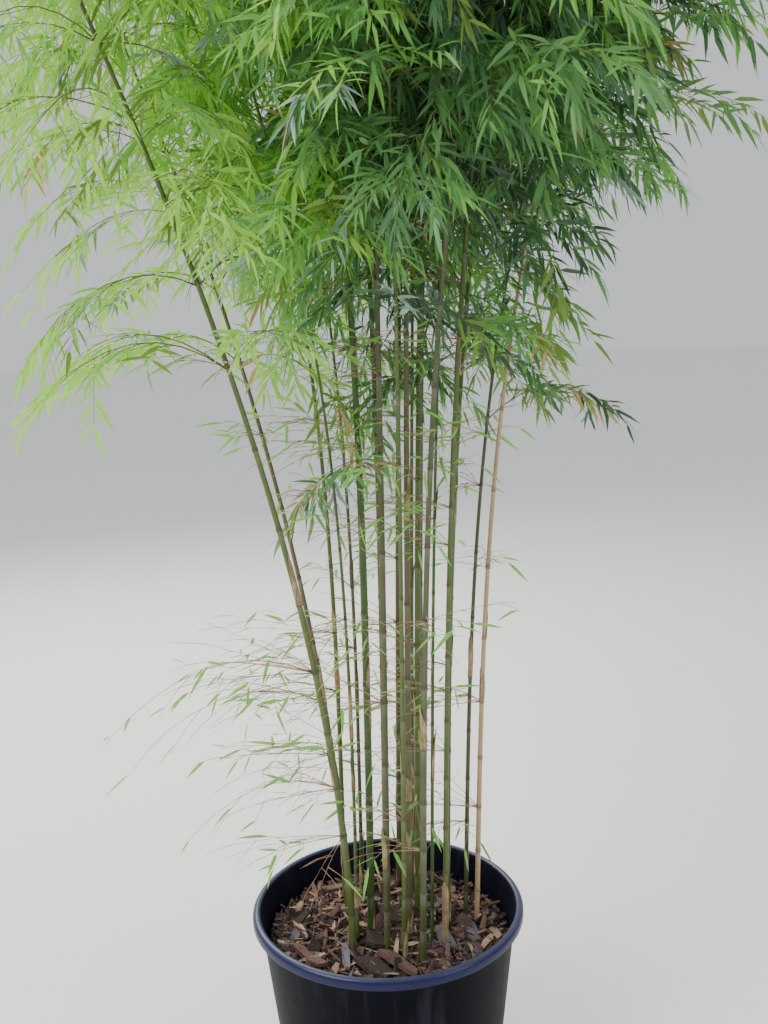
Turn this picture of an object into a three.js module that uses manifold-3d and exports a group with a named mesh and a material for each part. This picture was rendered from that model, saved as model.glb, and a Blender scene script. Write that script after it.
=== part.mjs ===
// A clump-forming garden bamboo growing in a large round nursery pot.
// Units are millimetres and +Z is up. The origin is the middle of the pot's flat underside.
// The pot holds its fill of compost, and slim jointed culms stand in the fill. Each full-grown
// culm runs up into a leafy crown of its own, and the young ones end among the leaves. A few thin
// twigs grow from the culms low on the left side.
import * as THREE from "three";
import { mergeVertices } from "three/addons/utils/BufferGeometryUtils.js";
import Module from "manifold-3d";

const wasm = await Module();
wasm.setup();

// Pot: a 50 litre nursery pot with a rolled rim
const POT_HEIGHT = 400;
const RIM_RADIUS = 250;
const RIM_DEPTH = 19;
const RIM_OVERHANG = 13;
const RIM_ROUND = 7;
const BASE_RADIUS = 192;
const WALL = 3.2;
const FLOOR = 4.5;
const HEEL = 7;
const POT_SIDES = 30;
const DRAIN_COUNT = 8;
const DRAIN_RADIUS = 9;
const DRAIN_RING = 140;

// Compost fill: level where the culms stand, falling a little towards the wall
const FILL_DROP = 68;
const FILL_SLOPE = 5;
const FILL_LEVEL_RADIUS = 212;
const GAP = 0.3;
const FILL_GAP = 0.5;

// Culms: the stems of one clump, seated on a spiral over the fill, the middle ones the tallest
const CULM_COUNT = 16;
const CLUMP_RADIUS = 150;
const CLUMP_MIDDLE = new THREE.Vector2(30, 40);
const CULM_TALL = 2460;
const OUTER_FALL = 0.26;
const CULM_RADIUS = 5.6;
const CULM_SIDES = 5;
const FOOT_FLARE = 1.2;
const FLARE_SHARE = 0.012;
const TIP_TAPER = 0.36;
const TAPER_POWER = 1.15;
const INTERNODES = 18;
const JOINT_CROWDING = 0.05;
const RIDGE = 1.24;
const RIDGE_HALF = 2.6;
const STRAW_CULM = 13;

// Young culms: thinner and shorter stems seated between the others. Their bare part ends where
// it enters the leaves of its neighbours.
const YOUNG_COUNT = 6;
const YOUNG_NEAREST = 0.6;
const YOUNG_FURTHEST = 0.9;
const YOUNG_TURN = 4.56;
const YOUNG_TALL = 0.86;
const YOUNG_GIRTH = 0.72;

// Lean: the clump tilts a little to the right, each culm bows outward, and two arch to the left
const CLUMP_TILT = 0.022;
const OUTWARD_LEAN = 270;
const LEAN_SCATTER = 60;
const BOW = 3.3;
const BOWED_SHARE = 0.93;
const LEANERS = [9, 12];
const LEANER_REACH = -470;
const LEANER_BOW = 1.8;

// Crown: a culm's leafy top begins at its fork joint. The inner culms have two branches at a
// joint where the outer ones have one.
const FORK = 11;
const BELOW_FORK = 0.012;
const INNER_SHARE = 0.5;
const CROWN_FOOT = 0.46;
const BRANCH_LENGTH = 225;
const SHORTEST_BRANCH = 0.35;
const TWIG_RADIUS = 2.1;
const TWIG_OF_STEM = 0.6;
const TWIG_SAG = 0.62;
const TWIG_MIDDLE = 0.9;
const TWIG_END = 0.75;
const LEAFY_SHARE = 0.62;
const LEAVES_PER_TWIG = 3;
const LEAF_LENGTH = 185;
const LEAF_WIDTH = 40;
const TIP_LEAF = 140;
const LEAF_THICKNESS = 0.0075;
const LEAF_WIDEST = 0.36;
const LEAF_SAG = 0.08;
const LEAF_ROOT_HALF_WIDTH = 0.5;
const LEAF_ROOT_HALF_THICKNESS = 0.45;
const CLEARANCE = 2.2;
const FORK_CLEARANCE = 60;
const HEADROOM = 190;

// Ways a branch may grow, in the order tried: how long it is, how far it spreads, how it rises
const HABITS = [
  { shorter: 1, spread: 1, steeper: 0 },
  { shorter: 0.75, spread: 0.9, steeper: 0.1 },
  { shorter: 0.6, spread: 0.6, steeper: 0.4 },
  { shorter: 0.5, spread: 0.3, steeper: 0.7 },
  { shorter: 0.4, spread: 0.15, steeper: 0.8 },
];
const TURNS = [0, 0.7, -0.7, 1.4, -1.4, 2.1, -2.1, 2.8];

// Low twigs: the culm and the joint that each grows from, and the culm's flat that it grows on
const LOW_TWIGS = [
  { k: 9, joint: 5, flat: 1 },
  { k: 12, joint: 4, flat: 1 },
  { k: 12, joint: 6, flat: 1 },
  { k: 14, joint: 5, flat: 1 },
  { k: 4, joint: 7, flat: 2 },
  { k: 15, joint: 7, flat: 2 },
];
const LOW_TWIG_LENGTH = 250;
const LOW_TWIG_RISE = 0.58;
const LOW_LEAF_SCALE = 0.6;
const LEAVES_PER_LOW_TWIG = 5;

const SHORTEST_EDGE = 0.002;
const GOLDEN_ANGLE = THREE.MathUtils.degToRad(137.508);
const TOP_OF_FILL = POT_HEIGHT - FILL_DROP;
const UP = new THREE.Vector3(0, 0, 1);
const STEM_FACE = new THREE.Vector3(0, 1, 0);

// A repeatable number from 0 to 1 for a set of whole numbers.
function chance(a, b, c) {
  const wave = Math.sin(a * 12.9898 + b * 78.233 + c * 37.719 + 4.1) * 43758.5453;
  return wave - Math.floor(wave);
}

const between = (low, high, share) => low + (high - low) * share;

// Solids

// A closed geometry as a solid: its vertices are merged and its collapsed faces dropped.
function toSolid(geometry) {
  const bare = geometry.clone();
  bare.deleteAttribute("normal");
  bare.deleteAttribute("uv");
  const merged = mergeVertices(bare, 1e-4);
  const corners = merged.index.array;
  const kept = [];
  for (let i = 0; i < corners.length; i += 3) {
    const [a, b, c] = corners.slice(i, i + 3);
    if (a !== b && b !== c && c !== a) kept.push(a, b, c);
  }
  const mesh = new wasm.Mesh({
    numProp: 3,
    vertProperties: Float32Array.from(merged.attributes.position.array),
    triVerts: Uint32Array.from(kept),
  });
  return new wasm.Manifold(mesh);
}

function toGeometry(solid) {
  const { numProp, vertProperties, triVerts } = solid.getMesh();
  const geometry = new THREE.BufferGeometry();
  const positions = new THREE.BufferAttribute(Float32Array.from(vertProperties), numProp);
  geometry.setAttribute("position", positions);
  geometry.setIndex(new THREE.BufferAttribute(Uint32Array.from(triVerts), 1));
  geometry.computeVertexNormals();
  return geometry;
}

// The length of a solid's shortest edge: a sliver has one that is next to nothing.
function shortestEdge(solid) {
  const { vertProperties, triVerts } = solid.getMesh();
  const corner = (i) => new THREE.Vector3().fromArray(vertProperties, 3 * triVerts[i]);
  let shortest = Infinity;
  for (let i = 0; i < triVerts.length; i += 3) {
    const [a, b, c] = [corner(i), corner(i + 1), corner(i + 2)];
    shortest = Math.min(shortest, a.distanceTo(b), b.distanceTo(c), c.distanceTo(a));
  }
  return shortest;
}

// Joins closed geometries into one body. A piece that would leave a sliver is skipped, and a
// scrap that touches nothing is dropped.
function fuse(geometries) {
  let joined = toSolid(geometries[0]);
  for (const geometry of geometries.slice(1)) {
    const next = joined.add(toSolid(geometry));
    if (shortestEdge(next) > SHORTEST_EDGE) joined = next;
  }
  const bodies = joined.decompose().sort((a, b) => b.volume() - a.volume());
  return toGeometry(bodies[0]);
}

// A cylinder, or a cone where pointed, whose rings are moved to the stations of a path.
// Each station gives its place, its direction and the ring's half width and half thickness.
function sweep(stations, sides, pointed) {
  const last = stations.length - 1;
  const shape = pointed
    ? new THREE.ConeGeometry(1, 1, sides, last)
    : new THREE.CylinderGeometry(1, 1, 1, sides, last);
  const positions = shape.attributes.position;
  for (let i = 0; i < positions.count; i++) {
    const ring = Math.round((positions.getY(i) + 0.5) * last);
    const { at, along, wide, thick, face } = stations[ring];
    const size = pointed ? Math.max(1 - ring / last, 1e-6) : 1;
    const x = Math.round((positions.getX(i) / size) * 1e5) / 1e5;
    const z = Math.round((positions.getZ(i) / size) * 1e5) / 1e5;
    const side = new THREE.Vector3().crossVectors(along, face).normalize();
    const normal = new THREE.Vector3().crossVectors(side, along);
    const point = at.clone().addScaledVector(side, x * wide).addScaledVector(normal, z * thick);
    positions.setXYZ(i, point.x, point.y, point.z);
  }
  return shape;
}

// Culm lines: the middle line of a culm at any height, from its seat on the fill to past its tip

function culmOf(k) {
  const young = k >= CULM_COUNT;
  const share = young
    ? between(YOUNG_NEAREST, YOUNG_FURTHEST, (k - CULM_COUNT + 0.5) / YOUNG_COUNT)
    : Math.sqrt((k + 0.5) / CULM_COUNT);
  const bearing = k * GOLDEN_ANGLE + (young ? YOUNG_TURN : 0.5 * chance(k, 1, 0));
  const outward = new THREE.Vector2(Math.cos(bearing), Math.sin(bearing));
  const lean = outward.clone().multiplyScalar(OUTWARD_LEAN * Math.sqrt(share));
  const leaner = LEANERS.includes(k);
  lean.x = leaner ? LEANER_REACH : lean.x + between(-LEAN_SCATTER, LEAN_SCATTER, chance(k, 2, 0));
  lean.y += between(-LEAN_SCATTER, LEAN_SCATTER, chance(k, 3, 0));
  const tall = CULM_TALL * (1 - OUTER_FALL * share + between(-0.05, 0.05, chance(k, 4, 0)));
  const girth = CULM_RADIUS * between(0.8, 1.2, chance(k, 5, 0));
  return {
    k,
    young,
    seat: outward.clone().multiplyScalar(CLUMP_RADIUS * share).add(CLUMP_MIDDLE),
    lean,
    bow: leaner ? LEANER_BOW : BOW,
    tall: young ? tall * YOUNG_TALL : tall,
    radius: young ? girth * YOUNG_GIRTH : girth,
    branches: share > INNER_SHARE ? 1 : 2,
  };
}

const CULMS = Array.from({ length: CULM_COUNT + YOUNG_COUNT }, (_, k) => culmOf(k));

// The middle line's point at a share of the culm's height; beyond the tip it runs on straight.
function culmPoint(culm, share) {
  const inside = Math.min(share, 1);
  const slopeAtTip = between(1, culm.bow, BOWED_SHARE);
  const bent = between(inside, inside ** culm.bow, BOWED_SHARE) + (share - inside) * slopeAtTip;
  const tilt = CLUMP_TILT * culm.tall * share;
  return new THREE.Vector3(
    culm.seat.x + culm.lean.x * bent + tilt,
    culm.seat.y + culm.lean.y * bent,
    heightAt(culm, share),
  );
}

const heightAt = (culm, share) => TOP_OF_FILL + GAP + culm.tall * share;

function culmAlong(culm, share) {
  return culmPoint(culm, share + 0.005).sub(culmPoint(culm, share - 0.005)).normalize();
}

const culmRadius = (culm, share) => culm.radius * between(1, TIP_TAPER, share ** TAPER_POWER);

// How far up the culm joint j is, as a share: joints are close at the foot and near the tip.
const jointShare = (j) =>
  j / INTERNODES - JOINT_CROWDING * Math.sin((2 * Math.PI * j) / INTERNODES);

// A culm is cut square between two joints, a little below its first leafy joint.
const FORK_SHARE = jointShare(FORK) - BELOW_FORK;

// How far a point of crown k is from what belongs to the other culms. Each crown has a layer of
// its own, from a little below its fork to the headroom over its tip. In another crown's layer
// the distance is to the half-way line, below it to the bare culm, and above it there is no limit.
// A young culm is bare up to its cut end.
function roomAt(k, point) {
  const distanceTo = (culm) => {
    const middle = culmPoint(culm, (point.z - TOP_OF_FILL) / culm.tall);
    return Math.hypot(point.x - middle.x, point.y - middle.y);
  };
  const own = distanceTo(CULMS[k]);
  const rooms = CULMS.filter((culm) => culm.k !== k).map((culm) => {
    if (point.z > layerTop(culm)) return Infinity;
    const distance = distanceTo(culm);
    return point.z > layerFoot(culm) ? (distance - own) / 2 : distance - culm.radius * RIDGE;
  });
  return Math.min(...rooms);
}

function layerFoot(culm) {
  return culm.young ? Infinity : heightAt(culm, FORK_SHARE) - FORK_CLEARANCE;
}

function layerTop(culm) {
  return culm.young ? heightAt(culm, FORK_SHARE) + CLEARANCE : heightAt(culm, 1) + HEADROOM;
}

// The face of a ring is the direction that its thickness is measured along.
function station(at, along, wide, thick, face = STEM_FACE) {
  return { at, along, wide, thick, face };
}

// The bare part of a culm, with a ridge at each joint and a slight flare at its foot.
function culmShape(culm) {
  const stations = [];
  const ring = (share, swell) => {
    const radius = culmRadius(culm, share) * swell;
    const along = share === 0 ? UP : culmAlong(culm, share);
    stations.push(station(culmPoint(culm, share), along, radius, radius));
  };
  const half = RIDGE_HALF / culm.tall;
  ring(0, FOOT_FLARE);
  ring(FLARE_SHARE, 1);
  for (let j = 1; j < FORK; j++) {
    ring(jointShare(j) - half, 1);
    ring(jointShare(j), RIDGE);
    ring(jointShare(j) + half, 1);
  }
  ring(FORK_SHARE, 1);
  return sweep(stations, CULM_SIDES, false);
}

// Leaves and twigs

// Square to a direction and as near to straight down as that allows.
function underside(direction) {
  const side = new THREE.Vector3().crossVectors(direction, UP);
  return new THREE.Vector3().crossVectors(direction, side).normalize();
}

// A leaf as a long flat cone with a keel below, widest a third of the way to its tip.
function leafStations(root, direction, length, width, face = underside(direction)) {
  const at = (share, sag) =>
    root.clone().addScaledVector(direction, length * share).addScaledVector(UP, -length * sag);
  return [
    station(at(0, 0), direction, LEAF_ROOT_HALF_WIDTH, LEAF_ROOT_HALF_THICKNESS, face),
    station(at(LEAF_WIDEST, LEAF_SAG / 8), direction, width / 2, length * LEAF_THICKNESS, face),
    station(at(1, LEAF_SAG), direction, 0, 0, face),
  ];
}

// True where a twig or leaf keeps to its layer and to the space round its own culm. The places
// between its stations are tried too.
function fits(k, stations, foot, top) {
  const clear = (point, wide) =>
    point.z > foot && point.z < top && roomAt(k, point) > wide + CLEARANCE;
  return stations.slice(1).every(({ at, wide }, i) => {
    const before = stations[i];
    return [0.25, 0.5, 0.75, 1].every((t) =>
      clear(before.at.clone().lerp(at, t), between(before.wide, wide, t)),
    );
  });
}

// A twig from a point on culm k: it rises, arches over and ends in a leaf, with leaves beside it.
// It returns the closed pieces to be fused, or none where there is no room for it.
function twigPieces(twig) {
  const { k, root, radius, bearing, spread, rise, length, leaves, key, leafScale, layer } = twig;
  const out = new THREE.Vector3(Math.cos(bearing), Math.sin(bearing), 0);
  const climb = (t) => rise * t - TWIG_SAG * t * t;
  const point = (t) =>
    root.clone().addScaledVector(out, length * spread * t).addScaledVector(UP, length * climb(t));
  const along = (t) => point(t + 0.01).sub(point(t - 0.01)).normalize();
  const leafLength = LEAF_LENGTH * leafScale * between(0.8, 1.15, chance(k, key, 7));
  const leafWidth = LEAF_WIDTH * leafScale;
  const end = leafStations(point(1), along(1), leafLength, leafWidth);
  const ring = (t, direction, size) =>
    station(point(t), direction, radius * size, radius * size, underside(direction));
  const spine = [
    ring(0, out, 1),
    ring(0.5, along(0.5), TWIG_MIDDLE),
    ring(1, along(1), TWIG_END),
    end[1],
    end[2],
  ];
  if (!fits(k, spine.slice(1), ...layer)) return [];
  const pieces = [sweep(spine, 3, true)];
  for (let i = 0; i < leaves; i++) {
    const t = 0.95 - (LEAFY_SHARE * i) / leaves;
    const turn = (i % 2 ? 1 : -1) * between(0.6, 1.0, chance(k, key, 20 + i));
    const direction = along(t).applyAxisAngle(UP, turn);
    direction.z -= between(0.1, 0.55, chance(k, key, 30 + i));
    direction.normalize();
    const scale = between(0.75, 1.1, chance(k, key, 40 + i));
    const blade = leafStations(point(t), direction, leafLength * scale, leafWidth);
    if (fits(k, blade, ...layer)) pieces.push(sweep(blade, 3, true));
  }
  return pieces;
}

// How long the branch at joint j is: longest half way up the crown, shortest at its top.
function branchLength(culm, j, side) {
  const upCrown = (jointShare(j) - CROWN_FOOT) / (1 - CROWN_FOOT);
  const swell = Math.sin(Math.PI * between(0.2, 0.93, upCrown));
  const scatter = between(0.8, 1.2, chance(culm.k, j, 8 + side));
  return BRANCH_LENGTH * between(SHORTEST_BRANCH, 1, swell) * scatter;
}

// Tries each habit with each turn, and returns the first branch that has room.
function firstThatFits(grow) {
  for (const habit of HABITS) {
    for (const turn of TURNS) {
      const grown = grow(habit, turn);
      if (grown.length) return grown;
    }
  }
  return [];
}

// The leafy top of a culm: its upper stem with branches at each joint.
function crownShape(culm) {
  const stations = [];
  const ring = (share) => {
    const radius = culmRadius(culm, share);
    stations.push(station(culmPoint(culm, share), culmAlong(culm, share), radius, radius));
  };
  ring(FORK_SHARE + GAP / culm.tall);
  for (let j = FORK; j < INTERNODES; j += 2) ring(jointShare(j));
  const top = culmPoint(culm, 1);
  const tip = leafStations(top, culmAlong(culm, 1), TIP_LEAF, LEAF_WIDTH, STEM_FACE);
  const pieces = [sweep([...stations, ...tip], 3, true)];
  for (let j = FORK; j < INTERNODES; j++) {
    for (let side = 0; side < culm.branches; side++) {
      pieces.push(...branchPieces(culm, j, side));
    }
  }
  return fuse(pieces);
}

function branchPieces(culm, j, side) {
  const share = jointShare(j);
  return firstThatFits(({ shorter, spread, steeper }, turn) =>
    twigPieces({
      k: culm.k,
      root: culmPoint(culm, share),
      radius: Math.min(TWIG_RADIUS, TWIG_OF_STEM * culmRadius(culm, share)),
      bearing: j * GOLDEN_ANGLE + 2.4 * culm.k + Math.PI * side + turn,
      spread,
      rise: between(0.75, 0.4, share) + steeper,
      length: branchLength(culm, j, side) * shorter,
      leaves: LEAVES_PER_TWIG,
      key: j + INTERNODES * side,
      leafScale: between(0.6, 1, shorter),
      layer: [layerFoot(culm), layerTop(culm)],
    }),
  );
}

// A thin twig on a flat of a bare culm, at a joint's ridge.
function lowTwigShape({ k, joint, flat }) {
  const culm = CULMS[k];
  const share = jointShare(joint);
  const bearing = Math.PI / 2 + ((2 * flat + 1) * Math.PI) / CULM_SIDES;
  const toFlat = culmRadius(culm, share) * RIDGE * Math.cos(Math.PI / CULM_SIDES);
  const out = new THREE.Vector3(Math.cos(bearing), Math.sin(bearing), 0);
  const pieces = twigPieces({
    k,
    root: culmPoint(culm, share).addScaledVector(out, toFlat + GAP),
    radius: TWIG_RADIUS,
    bearing,
    spread: 1,
    rise: LOW_TWIG_RISE,
    length: LOW_TWIG_LENGTH * between(0.8, 1.2, chance(k, joint, 50)),
    leaves: LEAVES_PER_LOW_TWIG,
    key: 60 + joint,
    leafScale: LOW_LEAF_SCALE,
    layer: [TOP_OF_FILL, Infinity],
  });
  return fuse(pieces);
}

// Pot and fill

// A turned shape from its outline, as [radius, height] pairs from the axis back to the axis.
function turned(outline) {
  const points = outline.map(([radius, height]) => new THREE.Vector2(radius, height));
  return new THREE.LatheGeometry(points, POT_SIDES).rotateX(Math.PI / 2);
}

const wallRadius = (height) =>
  between(BASE_RADIUS, RIM_RADIUS - RIM_OVERHANG, height / POT_HEIGHT);

function potShape() {
  const underRim = POT_HEIGHT - RIM_DEPTH;
  const innerTop = wallRadius(POT_HEIGHT) - WALL;
  const bowl = turned([
    [0, 0],
    [BASE_RADIUS - HEEL, 0],
    [wallRadius(HEEL), HEEL],
    [wallRadius(underRim), underRim],
    [RIM_RADIUS - RIM_ROUND / 2, underRim],
    [RIM_RADIUS, underRim + RIM_ROUND / 2],
    [RIM_RADIUS, POT_HEIGHT - RIM_ROUND],
    [RIM_RADIUS - 0.3 * RIM_ROUND, POT_HEIGHT - 0.3 * RIM_ROUND],
    [RIM_RADIUS - RIM_ROUND, POT_HEIGHT],
    [innerTop + 0.4 * RIM_ROUND, POT_HEIGHT - 0.3 * RIM_ROUND],
    [innerTop, POT_HEIGHT - RIM_ROUND],
    [wallRadius(FLOOR) - WALL, FLOOR],
    [0, FLOOR],
  ]);
  let solid = toSolid(bowl);
  for (let i = 0; i < DRAIN_COUNT; i++) {
    const bearing = (i * 2 * Math.PI) / DRAIN_COUNT;
    const hole = new THREE.CylinderGeometry(DRAIN_RADIUS, DRAIN_RADIUS, 4 * FLOOR, 8);
    hole.rotateX(Math.PI / 2);
    hole.translate(DRAIN_RING * Math.cos(bearing), DRAIN_RING * Math.sin(bearing), 0);
    solid = solid.subtract(toSolid(hole));
  }
  return toGeometry(solid);
}

function fillShape() {
  const inner = (height) => wallRadius(height) - WALL - FILL_GAP;
  const foot = FLOOR + FILL_GAP;
  const brim = TOP_OF_FILL - FILL_SLOPE;
  const outline = [
    [0, foot],
    [inner(foot), foot],
    [inner(brim), brim],
    [FILL_LEVEL_RADIUS, TOP_OF_FILL],
    [0, TOP_OF_FILL],
  ];
  return toGeometry(toSolid(turned(outline)));
}

const group = new THREE.Group();

function addPart(name, geometry, material) {
  const mesh = new THREE.Mesh(geometry, material);
  mesh.name = name;
  group.add(mesh);
}

const finish = (color, roughness) =>
  new THREE.MeshStandardMaterial({ color, roughness, metalness: 0 });

const potPlastic = finish(0x1c1d24, 0.45);
const compost = finish(0x5a4335, 0.95);
const culmGreen = finish(0x55702c, 0.5);
const culmAged = finish(0x6d6a4c, 0.6);
const culmStraw = finish(0xb98f5c, 0.6);
const dryTwig = finish(0xa58a5e, 0.7);
const foliage = finish(0x4f8a2a, 0.55);

function culmFinish(k) {
  if (k === STRAW_CULM) return culmStraw;
  return chance(k, 9, 0) > 0.55 ? culmAged : culmGreen;
}

addPart("pot", potShape(), potPlastic);
addPart("compost_fill", fillShape(), compost);
for (const culm of CULMS) {
  const number = String(culm.k + 1).padStart(2, "0");
  addPart("culm_" + number, toGeometry(toSolid(culmShape(culm))), culmFinish(culm.k));
  if (!culm.young) addPart("crown_" + number, crownShape(culm), foliage);
}
LOW_TWIGS.forEach((twig, i) => {
  addPart("low_twig_" + (i + 1), lowTwigShape(twig), dryTwig);
});

export default group;
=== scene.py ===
# %% [markdown]
# # A clump of bamboo in a large nursery pot
#
# This lesson dresses a plain solid model of a potted bamboo so that it looks like the living
# plant. The model holds the pot, its fill, sixteen jointed culms with a leafy mass on each, six
# young culms between them and a few low twigs. Every surface is worked out with numpy as a whole
# array of points, and put into a mesh at the end. Lengths in the formulas are millimetres, as on a
# workshop drawing, and become metres only when the mesh is made. The origin is the middle of the
# pot's flat underside, with +Z up.

# %% Load the fixed frame
import math

import bpy
import numpy as np
from mathutils import Matrix, Vector


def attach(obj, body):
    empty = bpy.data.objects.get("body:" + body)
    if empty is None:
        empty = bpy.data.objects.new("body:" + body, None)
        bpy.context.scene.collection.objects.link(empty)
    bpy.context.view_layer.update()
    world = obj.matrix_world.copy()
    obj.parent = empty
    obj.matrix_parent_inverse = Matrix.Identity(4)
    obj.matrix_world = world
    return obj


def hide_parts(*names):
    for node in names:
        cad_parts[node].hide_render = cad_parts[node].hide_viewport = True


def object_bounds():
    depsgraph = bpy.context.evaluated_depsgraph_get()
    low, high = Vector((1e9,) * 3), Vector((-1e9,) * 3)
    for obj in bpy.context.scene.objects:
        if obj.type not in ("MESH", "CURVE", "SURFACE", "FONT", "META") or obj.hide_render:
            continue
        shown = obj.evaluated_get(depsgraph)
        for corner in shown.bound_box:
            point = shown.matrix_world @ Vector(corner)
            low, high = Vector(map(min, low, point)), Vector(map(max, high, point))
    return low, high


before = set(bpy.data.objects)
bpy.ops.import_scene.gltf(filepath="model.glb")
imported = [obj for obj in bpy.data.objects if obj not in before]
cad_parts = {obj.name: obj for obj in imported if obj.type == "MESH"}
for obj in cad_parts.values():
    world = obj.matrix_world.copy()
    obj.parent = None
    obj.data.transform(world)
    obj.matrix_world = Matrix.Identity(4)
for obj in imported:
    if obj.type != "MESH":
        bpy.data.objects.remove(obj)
cad_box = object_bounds()
MM = 0.001
print("nodes in the frame:", len(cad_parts))

# %% [markdown]
# ## Camera and light
#
# The picture was taken from eye height, two metres from the clump, with the camera tipped down by
# ten degrees and a little crooked. A camera could be placed by eye, but the pot's rim is an
# ellipse in the picture, and only one camera place makes a rim of half a metre look like that, so
# the place comes from the rim. The light is a studio's: a large soft lamp on the left and above,
# where the day was brightest, a weaker one on the right, and one behind that shines through the
# leaves.

# %% Camera
CAMERA_AT = Vector((0.017, -1.846, 1.466))
PITCH = math.radians(-10.24)
ROLL = math.radians(1.92)
FOCAL_PIXELS = 1080
PICTURE_HEIGHT = 1024
SENSOR = 36
FURTHEST_SEEN = 200


def camera_axes():
    """Right, up and back of a camera that looks along +Y, tipped by the pitch and then rolled."""
    forward = Vector((0, math.cos(PITCH), math.sin(PITCH)))
    level = Vector((1, 0, 0))
    down = forward.cross(level)
    right = level * math.cos(ROLL) + down * math.sin(ROLL)
    low = down * math.cos(ROLL) - level * math.sin(ROLL)
    return right, -low, -forward


camera = bpy.data.objects.new("camera", bpy.data.cameras.new("camera"))
bpy.context.scene.collection.objects.link(camera)
camera.data.sensor_fit = "VERTICAL"
camera.data.sensor_height = SENSOR
camera.data.lens = FOCAL_PIXELS * SENSOR / PICTURE_HEIGHT
camera.data.clip_end = FURTHEST_SEEN
camera.matrix_world = Matrix.Translation(CAMERA_AT) @ Matrix(camera_axes()).transposed().to_4x4()
bpy.context.scene.camera = camera
print("camera lens in mm:", round(camera.data.lens, 2))

# %% Soft lamps and a pale sky
PLANT_MIDDLE = Vector((0, 0, 1.3))


def soft_lamp(name, place, size, watts, colour):
    """A square lamp of the given size at a place, turned towards the middle of the plant."""
    lamp = bpy.data.objects.new(name, bpy.data.lights.new(name, "AREA"))
    bpy.context.scene.collection.objects.link(lamp)
    lamp.data.size = size
    lamp.data.energy = watts
    lamp.data.color = colour
    lamp.location = place
    lamp.rotation_euler = (PLANT_MIDDLE - Vector(place)).to_track_quat("-Z", "Y").to_euler()


LAMPS = {
    "window_left": ((-3.2, -2.2, 4.2), 3.0, 215, (1.0, 0.99, 0.95)),
    "window_right": ((3.4, -2.6, 2.6), 2.4, 60, (0.86, 0.93, 1.0)),
    "window_back": ((-1.6, 3.4, 3.8), 2.6, 190, (1.0, 1.0, 0.9)),
}
SKY = (0.88, 0.91, 0.92, 1)
SKY_STRENGTH = 0.8
for lamp_name, setup in LAMPS.items():
    soft_lamp(lamp_name, *setup)
world = bpy.data.worlds.new("studio")
bpy.context.scene.world = world
world.use_nodes = True
background = world.node_tree.nodes["Background"]
background.inputs["Color"].default_value = SKY
background.inputs["Strength"].default_value = SKY_STRENGTH
print("lamps:", ", ".join(LAMPS))

# %% [markdown]
# ## From arrays to meshes
#
# The plant has a few large pieces and many thousands of small ones. They could be shaped with
# modelling tools or scattered as particles, but arrays follow a rule exactly, are quick, and give
# the same plant on every run. So all pieces are made in one way. A shape is an array of points and
# an array of faces that number those points, and `put_piece` hands both to Blender in one go. A
# value for each point, such as its distance from a joint, goes along as an attribute that a finish
# can read. Tubes come from `tubes`, which carries a ring of points along many lines at once.

# %% Small helpers for numbers and directions
UP = np.array([0.0, 0.0, 1.0])
FULL_TURN = 2 * np.pi
TINY = 1e-9


def between(low, high, share):
    """The value a share of the way from low to high."""
    return low + (high - low) * share


def unit(vectors):
    """Vectors divided by their lengths."""
    return vectors / np.maximum(np.linalg.norm(vectors, axis=-1, keepdims=True), TINY)


def round_angles(count):
    """Equal steps round a full turn, from 0."""
    return np.arange(count) * FULL_TURN / count


def level_way(bearing):
    """The level direction of each bearing a: (cos a, sin a, 0)."""
    return np.stack([np.cos(bearing), np.sin(bearing), 0 * bearing], -1)


print("the way of a quarter turn:", level_way(FULL_TURN / 4).round(3))

# %% Putting a piece into the scene
def put_piece(name, points, faces, finish, slot=None, values=None, rounded=True):
    """Makes an object of points in millimetres and a list of face arrays, one for each number of
    corners. The values are for each point, such as its distance from a joint. A piece given any
    slot rides on the one body of the plant; only whether a slot is given is used, not its name. A
    rounded piece is shaded smooth."""
    mesh = bpy.data.meshes.new(name)
    points = np.asarray(points, float).reshape(-1, 3)
    corners = np.concatenate([np.asarray(f).ravel() for f in faces])
    sizes = np.concatenate([np.full(len(f), np.shape(f)[1]) for f in faces])
    mesh.vertices.add(len(points))
    mesh.vertices.foreach_set("co", (points * MM).ravel())
    mesh.loops.add(len(corners))
    mesh.loops.foreach_set("vertex_index", corners.astype(np.int32))
    mesh.polygons.add(len(sizes))
    mesh.polygons.foreach_set("loop_start", (np.cumsum(sizes) - sizes).astype(np.int32))
    mesh.polygons.foreach_set("use_smooth", np.full(len(sizes), rounded))
    for key, array in (values or {}).items():
        attribute = mesh.attributes.new(key, "FLOAT", "POINT")
        attribute.data.foreach_set("value", np.asarray(array, np.float32).ravel())
    mesh.update(calc_edges=True)
    mesh.validate()
    piece = bpy.data.objects.new(name, mesh)
    bpy.context.scene.collection.objects.link(piece)
    piece.data.materials.append(finish)
    if slot:
        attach(piece, "root")
        print(name, "has", int((sizes - 2).sum()), "triangles")
    return piece


print("one millimetre is", MM, "of the scene's units")

# %% Faces of grids and of repeated shapes
def grid_faces(rows, columns, closed):
    """Quads of a grid of points numbered row by row; closed joins its last column to its first."""
    row, column = np.meshgrid(
        np.arange(rows - 1), np.arange(columns if closed else columns - 1), indexing="ij"
    )
    beside = (column + 1) % columns
    quads = [row * columns + column, row * columns + beside]
    quads += [(row + 1) * columns + beside, (row + 1) * columns + column]
    return np.stack(quads, -1).reshape(-1, 4)


def repeated(faces, count, points_each):
    """The faces of one shape, numbered on for count shapes of as many points each."""
    starts = (np.arange(count) * points_each)[:, None, None]
    return (faces[None] + starts).reshape(-1, faces.shape[1])


print("the faces of a grid of 2 by 3 points:", grid_faces(2, 3, False).tolist())

# %% Tubes along many lines at once
ALONG_Y = np.array([0.0, 1.0, 0.0])


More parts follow.
